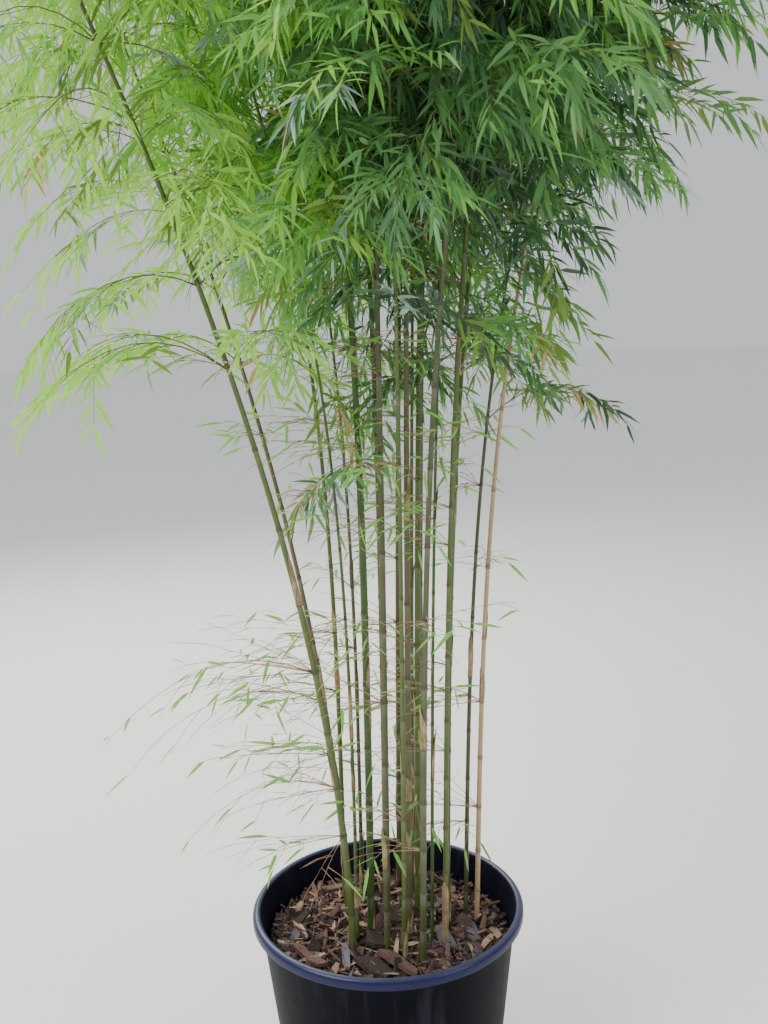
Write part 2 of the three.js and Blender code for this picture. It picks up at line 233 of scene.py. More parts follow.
def tubes(lines, radii, sides, beside=None):
    """Closed tubes round lines (n, m, 3) with radii (n, m). At each station the ring is the middle
    point plus the radius times (side cos a + normal sin a), where side is square to the line and
    to the given direction, and normal is square to both. The ends are closed by flat faces."""
    beside = ALONG_Y if beside is None else beside[:, None, :]
    along = unit(np.gradient(lines, axis=1))
    side = unit(np.cross(beside, along))
    normal = np.cross(along, side)
    angle = round_angles(sides)[:, None]
    ring = side[:, :, None] * np.cos(angle) + normal[:, :, None] * np.sin(angle)
    points = lines[:, :, None] + ring * radii[:, :, None, None]
    count, stations = lines.shape[:2]
    ends = np.stack([np.arange(sides)[::-1], np.arange(sides) + (stations - 1) * sides])
    walls = repeated(grid_faces(stations, sides, True), count, stations * sides)
    return points.reshape(-1, 3), [walls, repeated(ends, count, stations * sides)]


def joined(shapes):
    """Several (points, faces) pairs as one, where each has the same kinds of faces."""
    starts = np.cumsum([0] + [len(points) for points, _ in shapes])
    faces = [
        np.concatenate([kinds[i] + start for (_, kinds), start in zip(shapes, starts)])
        for i in range(len(shapes[0][1]))
    ]
    return np.concatenate([points for points, _ in shapes]), faces


straight = np.linspace([0.0, 0.0, 0.0], [0.0, 0.0, 1.0], 3)[None]
print("points of a tube of 3 rings of 6:", len(tubes(straight, np.ones((1, 3)), 6)[0]))

# %% [markdown]
# ## Writing finishes as sums
#
# A finish is a web of nodes, and most of it is arithmetic. It could be wired link by link, but a
# sum is easier to read than its web. The class `Number` wraps one socket, so that `1 - dust * 0.4`
# adds its own Math nodes. `Finish` holds the material and adds every other node by one method,
# which sets the node's settings first and then its sockets.

# %% The class for one socket
def plug(tree, socket, value):
    """Links a wrapped socket, or sets a plain value."""
    if isinstance(value, Number):
        tree.links.new(value.socket, socket)
    else:
        socket.default_value = value


class Number:
    """One output socket. An operator on it adds a Math node."""

    def __init__(self, tree, socket):
        self.tree = tree
        self.socket = socket

    def maths(self, operation, first, second):
        """Adds a Math node for two values, each a plain one or a wrapped socket."""
        made = self.tree.nodes.new("ShaderNodeMath")
        made.operation = operation
        plug(self.tree, made.inputs[0], first)
        plug(self.tree, made.inputs[1], second)
        return Number(self.tree, made.outputs[0])

    def __add__(self, other):
        return self.maths("ADD", self, other)

    def __radd__(self, other):
        return self.maths("ADD", other, self)

    def __sub__(self, other):
        return self.maths("SUBTRACT", self, other)

    def __rsub__(self, other):
        return self.maths("SUBTRACT", other, self)

    def __mul__(self, other):
        return self.maths("MULTIPLY", self, other)

    def __rmul__(self, other):
        return self.maths("MULTIPLY", other, self)


print("a wrapped socket takes + - and *, with a plain number on either side")

# %% The class for a material
class Finish:
    """A material, and the few things that its recipe needs."""

    def __init__(self, name):
        self.material = bpy.data.materials.new(name)
        self.material.use_nodes = True
        self.tree = self.material.node_tree
        self.tree.nodes.clear()

    def node(self, kind, settings=None, sockets=None, output=0):
        """Adds a node: its settings first, a ramp's stops among them, and then its sockets."""
        made = self.tree.nodes.new(kind)
        for key, value in (settings or {}).items():
            setattr(made, key, value)
        for key, value in (sockets or {}).items():
            found = [s for s in made.inputs if s.enabled and key in (s.name, s.identifier)]
            plug(self.tree, found[0], value)
        shown = [s for s in made.outputs if s.enabled]
        return Number(self.tree, shown[output])

    def place(self, x=1.0, y=1.0, z=1.0):
        """The point on the object in metres, each direction stretched by its own factor."""
        here = self.node("ShaderNodeTexCoord", output=3)
        scale = {"Vector": here, "Scale": (x, y, z)}
        return self.node("ShaderNodeMapping", None, scale)

    def noise(self, place, scale, detail=3.0, roughness=0.55):
        """Cloudy noise from 0 to 1, with its lumps 1/scale metres apart."""
        sockets = {"Vector": place, "Scale": scale, "Detail": detail, "Roughness": roughness}
        return self.node("ShaderNodeTexNoise", None, sockets)

    def step(self, value, low, high):
        """0 where the value is under low, 1 where it is over high, and smooth between."""
        sockets = {"Value": value, "From Min": low, "From Max": high}
        return self.node("ShaderNodeMapRange", {"interpolation_type": "SMOOTHSTEP"}, sockets)

    def mix(self, share, first, second):
        """The first colour turning into the second as the share goes from 0 to 1."""
        sockets = {"Factor": share, "A": first, "B": second}
        return self.node("ShaderNodeMix", {"data_type": "RGBA"}, sockets)

    def attribute(self, name):
        """A value that the mesh holds for each point."""
        return self.node("ShaderNodeAttribute", {"attribute_name": name}, output=2)

    def bump(self, height, depth):
        """Relief of so many metres where the height goes from 0 to 1."""
        return self.node("ShaderNodeBump", None, {"Height": height, "Distance": depth})

    def end(self, sockets, through=None, through_share=0.0):
        """Closes the finish by its surface, with a share of light let through in a tint."""
        surface = self.node("ShaderNodeBsdfPrincipled", None, sockets)
        if through:
            glow = self.node("ShaderNodeBsdfTranslucent", None, {"Color": through})
            mixed = self.tree.nodes.new("ShaderNodeMixShader")
            mixed.inputs[0].default_value = through_share
            plug(self.tree, mixed.inputs[1], surface)
            plug(self.tree, mixed.inputs[2], glow)
            surface = Number(self.tree, mixed.outputs[0])
        plug(self.tree, self.tree.nodes.new("ShaderNodeOutputMaterial").inputs[0], surface)
        return self.material


print("what a recipe can do:", [name for name in vars(Finish) if not name.startswith("_")])

# %% Colours as they look on a screen
def tint(red, green, blue):
    """A colour given as it looks on a screen, from 0 to 255, as the linear colour of a socket."""
    screen = np.array([red, green, blue]) / 255
    linear = np.where(screen > 0.04045, ((screen + 0.055) / 1.055) ** 2.4, screen / 12.92)
    return (*linear.tolist(), 1.0)


print("middle grey on a screen is linear", round(tint(128, 128, 128)[0], 3))

# %% [markdown] ## The floor  The floor isn't part of the plant. It is a wide disc in a pale, quiet
# finish, far larger than the view, so that no edge of it shows near the pot.

# %% Floor
FLOOR_RADIUS = 40000
FLOOR_SIDES = 64
floor_edge = level_way(round_angles(FLOOR_SIDES)) * FLOOR_RADIUS
floor_finish = Finish("pale_floor").end({"Base Color": tint(247, 247, 245), "Roughness": 0.95})
floor = put_piece("floor", floor_edge, [np.arange(FLOOR_SIDES)[None]], floor_finish)
print("floor radius in metres:", FLOOR_RADIUS * MM)

# %% [markdown]
# ## The pot
#
# It is a blow-moulded nursery pot of about fifty litres: a thin tapered wall, a rolled rim, a
# rounded heel and drain holes in its floor. It could start as a cylinder that is scaled and
# bevelled, but a pot is a turned thing, so its section is drawn once and spun. The heel, the rim
# and the inner corner are arcs in that section. The drain holes are then cut by a Boolean
# modifier, which is applied straight away.

# %% Sizes of the pot
POT_HEIGHT = 400.0
RIM_RADIUS = 250.0
RIM_OVERHANG = 13.0
BASE_RADIUS = 192.0


def wall_radius(height):
    """The outer radius of the tapered wall at a height."""
    return between(BASE_RADIUS, RIM_RADIUS - RIM_OVERHANG, height / POT_HEIGHT)


print("the wall's radius at its foot and top:", wall_radius(0), wall_radius(POT_HEIGHT))

# %% Arcs and turned shapes
def arc(middle, reach, start, end, count):
    """Points of an ellipse's arc: middle plus reach times (cos a, sin a), a in degrees."""
    a = np.radians(np.linspace(start, end, count))
    return np.stack([middle[0] + reach[0] * np.cos(a), middle[1] + reach[1] * np.sin(a)], -1)


def turned(section, sides):
    """Spins a section of (radius, height) points, whose two ends lie on the axis: each point goes
    round to radius times (cos a, sin a). The ends become single points with a fan of faces."""
    ring = level_way(round_angles(sides))[:, :2]
    inner = section[1:-1]
    flat = inner[:, None, :1] * ring[None]
    height = np.broadcast_to(inner[:, None, 1:], (*flat.shape[:2], 1))
    body = np.concatenate([flat, height], -1).reshape(-1, 3)
    poles = np.array([[0, 0, section[0, 1]], [0, 0, section[-1, 1]]])
    here, beside = np.arange(sides), (np.arange(sides) + 1) % sides
    last = (len(inner) - 1) * sides
    first_fan = np.stack([np.full(sides, len(body)), beside, here], -1)
    last_fan = np.stack([np.full(sides, len(body) + 1), last + here, last + beside], -1)
    faces = [grid_faces(len(inner), sides, True), np.concatenate([first_fan, last_fan])]
    return np.concatenate([body, poles]), faces


print("a quarter of a circle by three points:", arc((0, 0), (1, 1), 0, 90, 3).round(2).tolist())

# %% The pot's section, from the middle of the underside round to the middle of the floor inside
WALL = 3.2
WALL_STEPS = 12
POT_FLOOR = 4.5
HEEL = 7.0
RIM_DEPTH = 19.0
ROLL_HEIGHT = 9.0
ROLL_CORNER = 2.6
FLOOR_CORNER = 5.0
under_rim = POT_HEIGHT - RIM_DEPTH
inner_lip = wall_radius(POT_HEIGHT) - WALL
rim_middle = (RIM_RADIUS + inner_lip) / 2
rim_half = (RIM_RADIUS - inner_lip) / 2
inner_foot = wall_radius(POT_FLOOR) - WALL - FLOOR_CORNER
wall_heights = np.linspace(HEEL + 4, under_rim - 3, WALL_STEPS)
inside_heights = np.linspace(POT_HEIGHT - 12, POT_FLOOR + 8, WALL_STEPS)
pot_section = np.concatenate(
    [
        [[0, 0], [BASE_RADIUS / 2, 0]],
        arc((BASE_RADIUS - HEEL, HEEL), (HEEL, HEEL), -90, -5, 6),
        np.stack([wall_radius(wall_heights), wall_heights], -1),
        [[wall_radius(under_rim) + 0.4, under_rim - 0.4]],
        arc((RIM_RADIUS - ROLL_CORNER, under_rim + ROLL_CORNER), (ROLL_CORNER,) * 2, -90, 0, 5),
        arc((rim_middle, POT_HEIGHT - ROLL_HEIGHT), (rim_half, ROLL_HEIGHT), 8, 172, 13),
        np.stack([wall_radius(inside_heights) - WALL, inside_heights], -1),
        arc((inner_foot, POT_FLOOR + FLOOR_CORNER), (FLOOR_CORNER,) * 2, 0, -90, 5),
        [[BASE_RADIUS / 2, POT_FLOOR], [0, POT_FLOOR]],
    ]
)
print("points in the pot's section:", len(pot_section))

# %% [markdown]
# ### The pot's plastic
#
# The wall's plastic is nearly black and a shade lighter inside. The rolled rim is painted navy, a
# painted reflection of blue sky on the black plastic. It has lived outdoors: dust has settled
# towards the foot and runs of dried water have left grey streaks. The top of the rim is painted
# paler, partly rubbed wear and partly a painted highlight. An image could be painted for that, but
# noise that is stretched downwards gives streaks that stay sharp close up. Rim, inside and outside
# are told apart by the height and by the distance from the axis, which fit a turned shape.

# %% Plastic finish
def dusty_plastic():
    """Near-black plastic with a navy rim that is a painted reflection of blue sky, greyed by dust
    near the foot and by runs, with the top of the rim painted paler as rubbed wear and a painted
    highlight, and fine scratches as relief. The inside is where the distance from the axis, less
    the wall's taper, is under the radius of the base."""
    recipe = Finish("dusty_black_plastic")
    height = recipe.node("ShaderNodeSeparateXYZ", None, {"Vector": recipe.place()}, output=2)
    runs = recipe.step(recipe.noise(recipe.place(26, 26, 2.2), 1.0, 4.0), 0.54, 0.72)
    cloud = recipe.noise(recipe.place(), 9.0, 4.0)
    foot = 1 - recipe.step(height, 0.0, 0.3)
    flat = {"Vector": recipe.place(1, 1, 0)}
    away = recipe.node("ShaderNodeVectorMath", {"operation": "LENGTH"}, flat)
    above_wall = recipe.step(height, (under_rim - 2) * MM, (under_rim + 3) * MM)
    on_rim = above_wall * recipe.step(away, (RIM_RADIUS - 15) * MM, (RIM_RADIUS - 10) * MM)
    slope = (RIM_RADIUS - RIM_OVERHANG - BASE_RADIUS) / POT_HEIGHT
    inner_skin, outer_skin = [(BASE_RADIUS - WALL * depth) * MM for depth in (0.75, 0.25)]
    inside = 1 - recipe.step(away - height * slope, inner_skin, outer_skin)
    dust = (runs * 0.4 + cloud * 0.05 + foot * cloud * 0.3) * (1 - on_rim * 0.8)
    speck = recipe.step(recipe.noise(recipe.place(), 260.0, 1.0), 0.69, 0.75)
    plastic = recipe.mix(inside, tint(5, 6, 11), tint(24, 24, 38))
    # Painted reflection: the rim's navy stands in for blue sky reflected in the black plastic.
    plastic = recipe.mix(on_rim, plastic, tint(17, 16, 62))
    # Painted highlight and wear: the top of the rim is made paler, partly as rubbed wear and partly
    # as a painted highlight.
    rubbed_and_highlight = recipe.step(height, (POT_HEIGHT - 4.5) * MM, POT_HEIGHT * MM) * (0.1 + cloud * 0.4)
    plastic = recipe.mix(rubbed_and_highlight, plastic, tint(104, 112, 134))
    colour = recipe.mix((dust + speck * 0.1) * 0.26, plastic, tint(104, 106, 120))
    scratches = recipe.noise(recipe.place(40, 40, 400), 1.0, 2.0)
    grain = recipe.noise(recipe.place(), 700.0, 1.0)
    sockets = {
        "Base Color": colour,
        "Roughness": 0.42 + dust * 0.5 + scratches * 0.12,
        "Normal": recipe.bump(scratches * 0.6 + grain * 0.4, 0.0006),
        "Specular IOR Level": 0.07,
        "Specular Tint": (0.68, 0.75, 1.0, 1.0),
        "Coat Weight": on_rim * 0.5,
        "Coat Roughness": 0.26,
    }
    return recipe.end(sockets)


pot_finish = dusty_plastic()
print("nodes in the pot's finish:", len(pot_finish.node_tree.nodes))

# %% Make the pot and cut its drain holes
POT_SIDES = 128
DRAIN_COUNT = 8
DRAIN_RADIUS = 9.0
DRAIN_RING = 140.0
DRAIN_SIDES = 24
CUT_REACH = 20.0
pot = put_piece("nursery_pot", *turned(pot_section, POT_SIDES), pot_finish, "pot_plastic")
drain_middles = level_way(round_angles(DRAIN_COUNT)) * DRAIN_RING
drain_lines = np.stack([drain_middles - UP * CUT_REACH, drain_middles + UP * CUT_REACH], 1)
drain_radii = np.full((DRAIN_COUNT, 2), DRAIN_RADIUS)
cutter = put_piece("drain_cutter", *tubes(drain_lines, drain_radii, DRAIN_SIDES), None)
cut = pot.modifiers.new("drains", "BOOLEAN")
cut.operation = "DIFFERENCE"
cut.object = cutter
bpy.context.view_layer.update()
whole = bpy.data.meshes.new_from_object(pot.evaluated_get(bpy.context.evaluated_depsgraph_get()))
pot.modifiers.clear()
pot.data = whole
bpy.data.objects.remove(cutter)
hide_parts("pot")
print("faces of the pot with its drain holes:", len(pot.data.polygons))

# %% [markdown]
# ## The fill and its mulch
#
# The pot is filled with compost and topped with coarse shredded bark and wood. The compost is one
# closed shape whose top has a gentle relief, a sum of a few waves. The mulch could be a bumpy
# surface, but its loose edges catch the light, so it is some thousands of separate chips, each a
# thin six-cornered slab with ragged corners. One array holds them all: the slab is stretched, bent
# and turned for each chip, and dropped at a random place on the fill. Five tones of wood lie mixed
# together, the lighter ones left out of a damp patch at the front. A few large chips lie where
# they lie in the real pot.
# Places, sizes and turns come from `chance`, a number that looks random but follows from three
# whole numbers, so that every run of the lesson grows the same plant.

# %% Repeatable chance
def chance(a, b, c):
    """A repeatable number from 0 to 1 for whole numbers: the fraction of a large sine."""
    wave = np.sin(a * 12.9898 + b * 78.233 + c * 37.719 + 4.1) * 43758.5453
    return wave - np.floor(wave)


print("four draws:", chance(np.arange(4), 0, 0).round(3))

# %% The surface of the fill
FILL_DROP = 68.0
TOP_OF_FILL = POT_HEIGHT - FILL_DROP
FILL_GAP = 0.5
FILL_SLOPE = 5.0
FILL_SLOPE_WIDTH = 14
FILL_LEVEL_RADIUS = 212.0
FILL_DIP = 2.5
WAVE_HEIGHT = 1.5


def fill_inside(height):
    """The radius of the fill's side, a hair inside the pot's wall."""
    return wall_radius(height) - WALL - FILL_GAP


def fill_top(x, y):
    """The height of the fill's surface: level in the middle, falling to the wall, with waves."""
    away = np.hypot(x, y)
    fall = FILL_SLOPE * np.clip((away - FILL_LEVEL_RADIUS) / FILL_SLOPE_WIDTH, 0, 1)
    waves = np.sin(x / 31 + 1.3) * np.cos(y / 27) + 0.6 * np.sin(x / 13 - y / 17)
    return TOP_OF_FILL - FILL_DIP - fall + WAVE_HEIGHT * waves


print("height of the fill in the middle:", round(fill_top(0, 0), 1))

# %% The fill as a turned shape with its relief
FILL_SIDES = 96
FILL_RINGS = 34
fill_brim = TOP_OF_FILL - FILL_SLOPE - 4
fill_radii = np.linspace(fill_inside(fill_brim), 6, FILL_RINGS)
fill_section = np.concatenate(
    [
        [[0, POT_FLOOR + FILL_GAP], [fill_inside(POT_FLOOR) - 6, POT_FLOOR + FILL_GAP]],
        [[fill_inside(POT_FLOOR + 7), POT_FLOOR + 7]],
        [[fill_inside(h), h] for h in np.linspace(60, fill_brim - 8, 5)],
        np.stack([fill_radii, np.full(FILL_RINGS, TOP_OF_FILL)], -1),
        [[0, TOP_OF_FILL]],
    ]
)
fill_points, fill_faces = turned(fill_section, FILL_SIDES)
on_top = fill_points[:, 2] > TOP_OF_FILL - 0.1
fill_points[on_top, 2] = fill_top(fill_points[on_top, 0], fill_points[on_top, 1])
print("points on the top of the fill:", int(on_top.sum()))

# %% Turns as matrices
def turned_by(yaw, pitch, roll):
    """Matrices (n, 3, 3) that roll about x, then pitch about y, then yaw about z."""
    cy, sy, cp, sp, cr, sr = [f(a) for a in (yaw, pitch, roll) for f in (np.cos, np.sin)]
    rows = [
        [cy * cp, cy * sp * sr - sy * cr, cy * sp * cr + sy * sr],
        [sy * cp, sy * sp * sr + cy * cr, sy * sp * cr - cy * sr],
        [-sp, cp * sr, cp * cr],
    ]
    return np.moveaxis(np.array(rows), -1, 0)


still = np.zeros(1)
print("half a turn about z:", turned_by(still + np.pi, still, still).round(2).tolist())

# %% Chips as one array
CHIP_OUTLINE = np.array(
    [[-0.5, 0.2], [-0.46, -0.4], [0.3, -0.5], [0.5, -0.15], [0.44, 0.4], [-0.2, 0.5]]
)
CHIP_CORNERS = len(CHIP_OUTLINE)
RAGGED_LEAST, RAGGED_SPAN = 0.75, 0.5
THICK_LEAST, THICK_SPAN = 0.6, 0.8
BEND_SPAN = 0.5


def chips(places, lengths, widths, thicknesses, turns, seed):
    """Slabs (n): the ragged outline above and below, times length and width, bent along its
    length by a square law, turned, and moved to its place."""
    count = len(lengths)
    n = np.arange(count)[:, None]
    around = np.arange(CHIP_CORNERS)
    ragged = RAGGED_LEAST + RAGGED_SPAN * chance(n, around[None], seed)
    outline = CHIP_OUTLINE[None] * ragged[:, :, None]
    x = outline[:, :, 0] * lengths[:, None]
    y = outline[:, :, 1] * widths[:, None]
    bend = (chance(n, 7, seed) - 0.5) * BEND_SPAN
    lift = bend * x * x / lengths[:, None]
    uneven = THICK_LEAST + THICK_SPAN * chance(n, around[None] + 9, seed)
    half = thicknesses[:, None] / 2 * uneven
    faces_up = np.stack([x, y, lift + half], -1)
    faces_down = np.stack([x, y, lift - half], -1)
    local = np.concatenate([faces_up, faces_down], 1)
    points = np.einsum("nij,nkj->nki", turns, local) + places[:, None]
    beside = (around + 1) % CHIP_CORNERS
    caps = np.stack([around, 2 * CHIP_CORNERS - 1 - around])
    sides = np.stack([around + CHIP_CORNERS, beside + CHIP_CORNERS, beside, around], -1)
    return points, [repeated(corners, count, 2 * CHIP_CORNERS) for corners in (caps, sides)]


print("corners of a chip:", 2 * CHIP_CORNERS)

# %% Places over the fill and inside the pot
CHIP_ROOM = fill_inside(TOP_OF_FILL) - 2


def kept_in_pot(points, room):
    """Moves each shape towards the axis by as much as its furthest point is past the room."""
    away = np.hypot(points[..., 0], points[..., 1])
    past = np.maximum(away.max(1) - room, 0)
    middle = points[..., :2].mean(1)
    points[..., :2] -= (unit(middle) * past[:, None])[:, None]
    return points


def even_places(n, room, seed):
    """Places even over a disc: the distance goes with the root of a chance."""
    away = room * np.sqrt(chance(n, 1, seed))
    bearing = FULL_TURN * chance(n, 2, seed)
    return away * np.cos(bearing), away * np.sin(bearing)


print("room for chips, as a radius:", round(CHIP_ROOM, 1))

# %% Chips thrown on the fill
DAMP_MIDDLE = np.array([8.0, -62.0])
DAMP_REACH = np.array([92.0, 104.0])
DAMP_EDGE = 0.5
CHIP_WIDTHS = (0.14, 0.42)
CHIP_THICKNESSES = (0.25, 0.7)
MOSTLY_SHORT = 3
MOSTLY_FLAT = 2.2
ROLL_SPAN = 2.2


def scattered_chips(count, longest, shortest, thickest, lift, seed, thinned):
    """Chips thrown on the fill, mostly lying flat, some on edge. Light tones are thinned: they are
    left out of the damp patch at the front, an ellipse with a ragged edge."""
    n = np.arange(count)
    x, y = even_places(n, CHIP_ROOM - 2, seed)
    if thinned:
        from_damp = np.linalg.norm((np.stack([x, y], -1) - DAMP_MIDDLE) / DAMP_REACH, axis=1)
        dry = from_damp + DAMP_EDGE * (chance(n, 11, seed) - 0.5) > 1
        n, x, y = n[dry], x[dry], y[dry]
    lengths = between(shortest, longest, chance(n, 3, seed) ** MOSTLY_SHORT)
    widths = lengths * between(*CHIP_WIDTHS, chance(n, 4, seed))
    thicknesses = between(*CHIP_THICKNESSES, chance(n, 5, seed)) * np.minimum(widths, thickest)
    yaw = FULL_TURN * chance(n, 6, seed)
    tip = (chance(n, 8, seed) - 0.5) * 2
    pitch = np.sign(tip) * np.abs(tip) ** MOSTLY_FLAT
    roll = (chance(n, 9, seed) - 0.5) * ROLL_SPAN
    z = fill_top(x, y) + lift * chance(n, 10, seed) + np.abs(np.sin(pitch)) * lengths * 0.3
    turns = turned_by(yaw, pitch, roll)
    points, faces = chips(np.stack([x, y, z], -1), lengths, widths, thicknesses, turns, seed)
    return kept_in_pot(points, CHIP_ROOM).reshape(-1, 3), faces


print("the damp patch reaches this far, across and deep:", DAMP_REACH.tolist())

# %% [markdown]
# ### Compost and wood finishes
#
# Compost is dark, matt and crumbly. Bark and wood chips show fibre, so their noise is stretched,
# and damp makes patches darker. Each tone of wood could have a recipe of its own, but they have
# weathered together, so one recipe takes a pair of colours for each.

# %% Compost and wood finishes
def crumbly(name, dark, light, lumps, depth):
    """A matt crumbly surface of two colours with lumps a given number to the metre."""
    recipe = Finish(name)
    lump = recipe.noise(recipe.place(), lumps, 5.0, 0.65)
    fine = recipe.noise(recipe.place(), lumps * 6, 2.0)
    colour = recipe.mix(recipe.step(lump * 0.7 + fine * 0.3, 0.36, 0.66), dark, light)
    height = recipe.bump(lump * 0.6 + fine * 0.4, depth)
    return recipe.end({"Base Color": colour, "Roughness": 0.88 + fine * 0.1, "Normal": height})


def old_wood(name, dark, light):
    """Weathered wood: stretched fibre between two tones, and damp patches that darken it."""
    recipe = Finish(name)
    fibre = recipe.noise(recipe.place(900, 160, 300), 1.0, 3.0, 0.7)
    damp = recipe.step(recipe.noise(recipe.place(), 34.0, 3.0), 0.42, 0.64)
    shade = recipe.step(fibre, 0.34, 0.7) * (1 - damp * 0.65)
    colour = recipe.mix(shade, dark, light)
    sockets = {
        "Base Color": colour,
        "Roughness": 0.86 - damp * 0.2,
        "Normal": recipe.bump(fibre, 0.0012),
    }
    return recipe.end(sockets)


compost = crumbly("damp_compost", tint(34, 25, 21), tint(84, 64, 54), 120.0, 0.004)
print("nodes in the compost's finish:", len(compost.node_tree.nodes))

# %% Tones of wood: two colours, how many chips, fine ones to each coarse one, lift, if thinned
WOOD_TONES = {
    "dark_bark": (tint(38, 28, 28), tint(76, 57, 55), 1100, 3.0, 11.0, False),
    "red_bark": (tint(78, 53, 48), tint(130, 97, 90), 900, 2.6, 11.0, False),
    "brown_wood": (tint(104, 78, 68), tint(160, 130, 112), 640, 2.0, 12.0, True),
    "grey_wood": (tint(84, 77, 84), tint(134, 125, 136), 400, 1.6, 12.0, True),
    "pale_wood": (tint(158, 128, 106), tint(206, 182, 158), 260, 1.6, 13.0, True),
}
COARSE = {"longest": 54, "shortest": 8, "thickest": 7}
FINE = {"longest": 13, "shortest": 3, "thickest": 3}
print("coarse chips before thinning:", sum(wood[2] for wood in WOOD_TONES.values()))

# %% Large chips that stand out: from where to where on the fill, how wide and thick, how high
LARGE_CHIPS = {
    "red_bark": [
        ((-18, -74, 19), (52, -159, 21), 23, 9),
        ((-169, -53, 15), (-122, -121, 15), 27, 7),
        ((128, -30, 12), (170, -80, 13), 18, 6),
    ],
    "dark_bark": [
        ((-52, -84, 14), (0, -160, 15), 50, 10),
        ((-4, 66, 13), (22, 6, 13), 44, 9),
        ((34, 2, 13), (18, -52, 14), 40, 9),
        ((-30, -12, 13), (-22, -66, 13), 32, 8),
        ((64, -92, 12), (96, -140, 12), 30, 8),
    ],
    "grey_wood": [
        ((92, -4, 16), (110, -84, 16), 30, 9),
        ((140, 21, 14), (161, -59, 14), 26, 8),
        ((-80, -54, 17), (-74, -136, 19), 14, 6),
    ],
    "brown_wood": [
        ((-165, 131, 15), (-86, 152, 18), 13, 6),
        ((150, 60, 13), (120, 112, 13), 16, 6),
    ],
    "pale_wood": [
        ((188, -5, 15), (206, -54, 15), 17, 5),
        ((-150, -20, 15), (-176, 30, 15), 10, 4),
        ((168, -72, 14), (190, -40, 15), 12, 4),
    ],
}
print("large chips:", sum(len(laid) for laid in LARGE_CHIPS.values()))

# %% Laying the large chips
def laid_chips(chips_laid, seed):
    """Chips that each reach from one point to another, given above the top of the fill."""
    start, end = [np.array([chip[i] for chip in chips_laid], float) for i in (0, 1)]
    reach = end - start
    yaw = np.arctan2(reach[:, 1], reach[:, 0])
    pitch = -np.arctan2(reach[:, 2], np.hypot(reach[:, 0], reach[:, 1]))
    places = (start + end) / 2 + UP * TOP_OF_FILL
    widths, thicknesses = [np.array([chip[i] for chip in chips_laid], float) for i in (2, 3)]
    turns = turned_by(yaw, pitch, 0.3 * np.sin(yaw))
    lengths = np.linalg.norm(reach, axis=1)
    points, faces = chips(places, lengths, widths, thicknesses, turns, seed)
    return points.reshape(-1, 3), faces


print("corners of the large grey chips:", len(laid_chips(LARGE_CHIPS["grey_wood"], 0)[0]))

# %% Make the fill and its mulch
fill = put_piece("compost", fill_points, fill_faces, compost, "compost")
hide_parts("compost_fill")
COARSE_SEED, FINE_SEED, LARGE_SEED = 100, 200, 300
for number, (tone, wood) in enumerate(WOOD_TONES.items()):
    dark, light, count, finer, lift, thinned = wood
    thrown_chips = [
        scattered_chips(count, lift=lift, seed=COARSE_SEED + number, thinned=thinned, **COARSE),
        scattered_chips(
            int(finer * count), lift=lift + 2, seed=FINE_SEED + number, thinned=thinned, **FINE
        ),
    ]
    large = laid_chips(LARGE_CHIPS[tone], LARGE_SEED + number)
    finish = old_wood(tone, dark, light)
    mulch = joined([*thrown_chips, large])
    put_piece("mulch_" + tone, *mulch, finish, "compost", rounded=False)

# %% [markdown]
# ## The culms
#
# A culm is a hollow jointed stem. It is widest at its foot and tapers to a whip, and it bows
# outward under its leaves. At each joint the old sheath has left a thin sharp scar, with a soft
# swelling just above it. A curve with a round bevel would give a plain pipe, so a culm is a tube
# of rings instead, set close together at its joints. The line, the taper and the joints are the
# same rule as the solid model's, so each stem runs exactly where its solid is, and on through its
# leafy top.

# %% Where each culm stands
GOLDEN_ANGLE = math.radians(137.508)
CULM_COUNT = 16
YOUNG_COUNT = 6
YOUNG_NEAREST = 0.6
YOUNG_FURTHEST = 0.9
YOUNG_TURN = 4.56
SEAT_SCATTER = 0.5
CLUMP_RADIUS = 150.0
CLUMP_MIDDLE = np.array([30.0, 40.0])
culm_k = np.arange(CULM_COUNT + YOUNG_COUNT)
young = culm_k >= CULM_COUNT
young_share = between(YOUNG_NEAREST, YOUNG_FURTHEST, (culm_k - CULM_COUNT + 0.5) / YOUNG_COUNT)
culm_share = np.where(young, young_share, np.sqrt((culm_k + 0.5) / CULM_COUNT))
own_turn = np.where(young, YOUNG_TURN, SEAT_SCATTER * chance(culm_k, 1, 0))
culm_bearing = culm_k * GOLDEN_ANGLE + own_turn
culm_outward = np.stack([np.cos(culm_bearing), np.sin(culm_bearing)], -1)
culm_seat = culm_outward * CLUMP_RADIUS * culm_share[:, None] + CLUMP_MIDDLE
print("culms:", CULM_COUNT, "full ones and", YOUNG_COUNT, "young ones")

# %% How far each culm leans, and its bow, height and girth
OUTWARD_LEAN = 270.0
LEAN_SCATTER = 60.0
LEANERS = [9, 12]
LEANER_REACH = -470.0
LEANER_BOW = 1.8
BOW = 3.3
CULM_TALL = 2460.0
OUTER_FALL = 0.26
HEIGHT_SCATTER = (-0.05, 0.05)
YOUNG_TALL = 0.86
CULM_RADIUS = 5.6
GIRTHS = (0.8, 1.2)
YOUNG_GIRTH = 0.72
culm_lean = culm_outward * OUTWARD_LEAN * np.sqrt(culm_share)[:, None]
culm_lean += LEAN_SCATTER * (2 * np.stack([chance(culm_k, 2, 0), chance(culm_k, 3, 0)], -1) - 1)
culm_lean[LEANERS, 0] = LEANER_REACH
culm_bow = np.full(len(culm_k), BOW)
culm_bow[LEANERS] = LEANER_BOW
own_height = between(*HEIGHT_SCATTER, chance(culm_k, 4, 0))
culm_tall = CULM_TALL * (1 - OUTER_FALL * culm_share + own_height)
culm_tall *= np.where(young, YOUNG_TALL, 1)
culm_radius = CULM_RADIUS * between(*GIRTHS, chance(culm_k, 5, 0))
culm_radius *= np.where(young, YOUNG_GIRTH, 1)
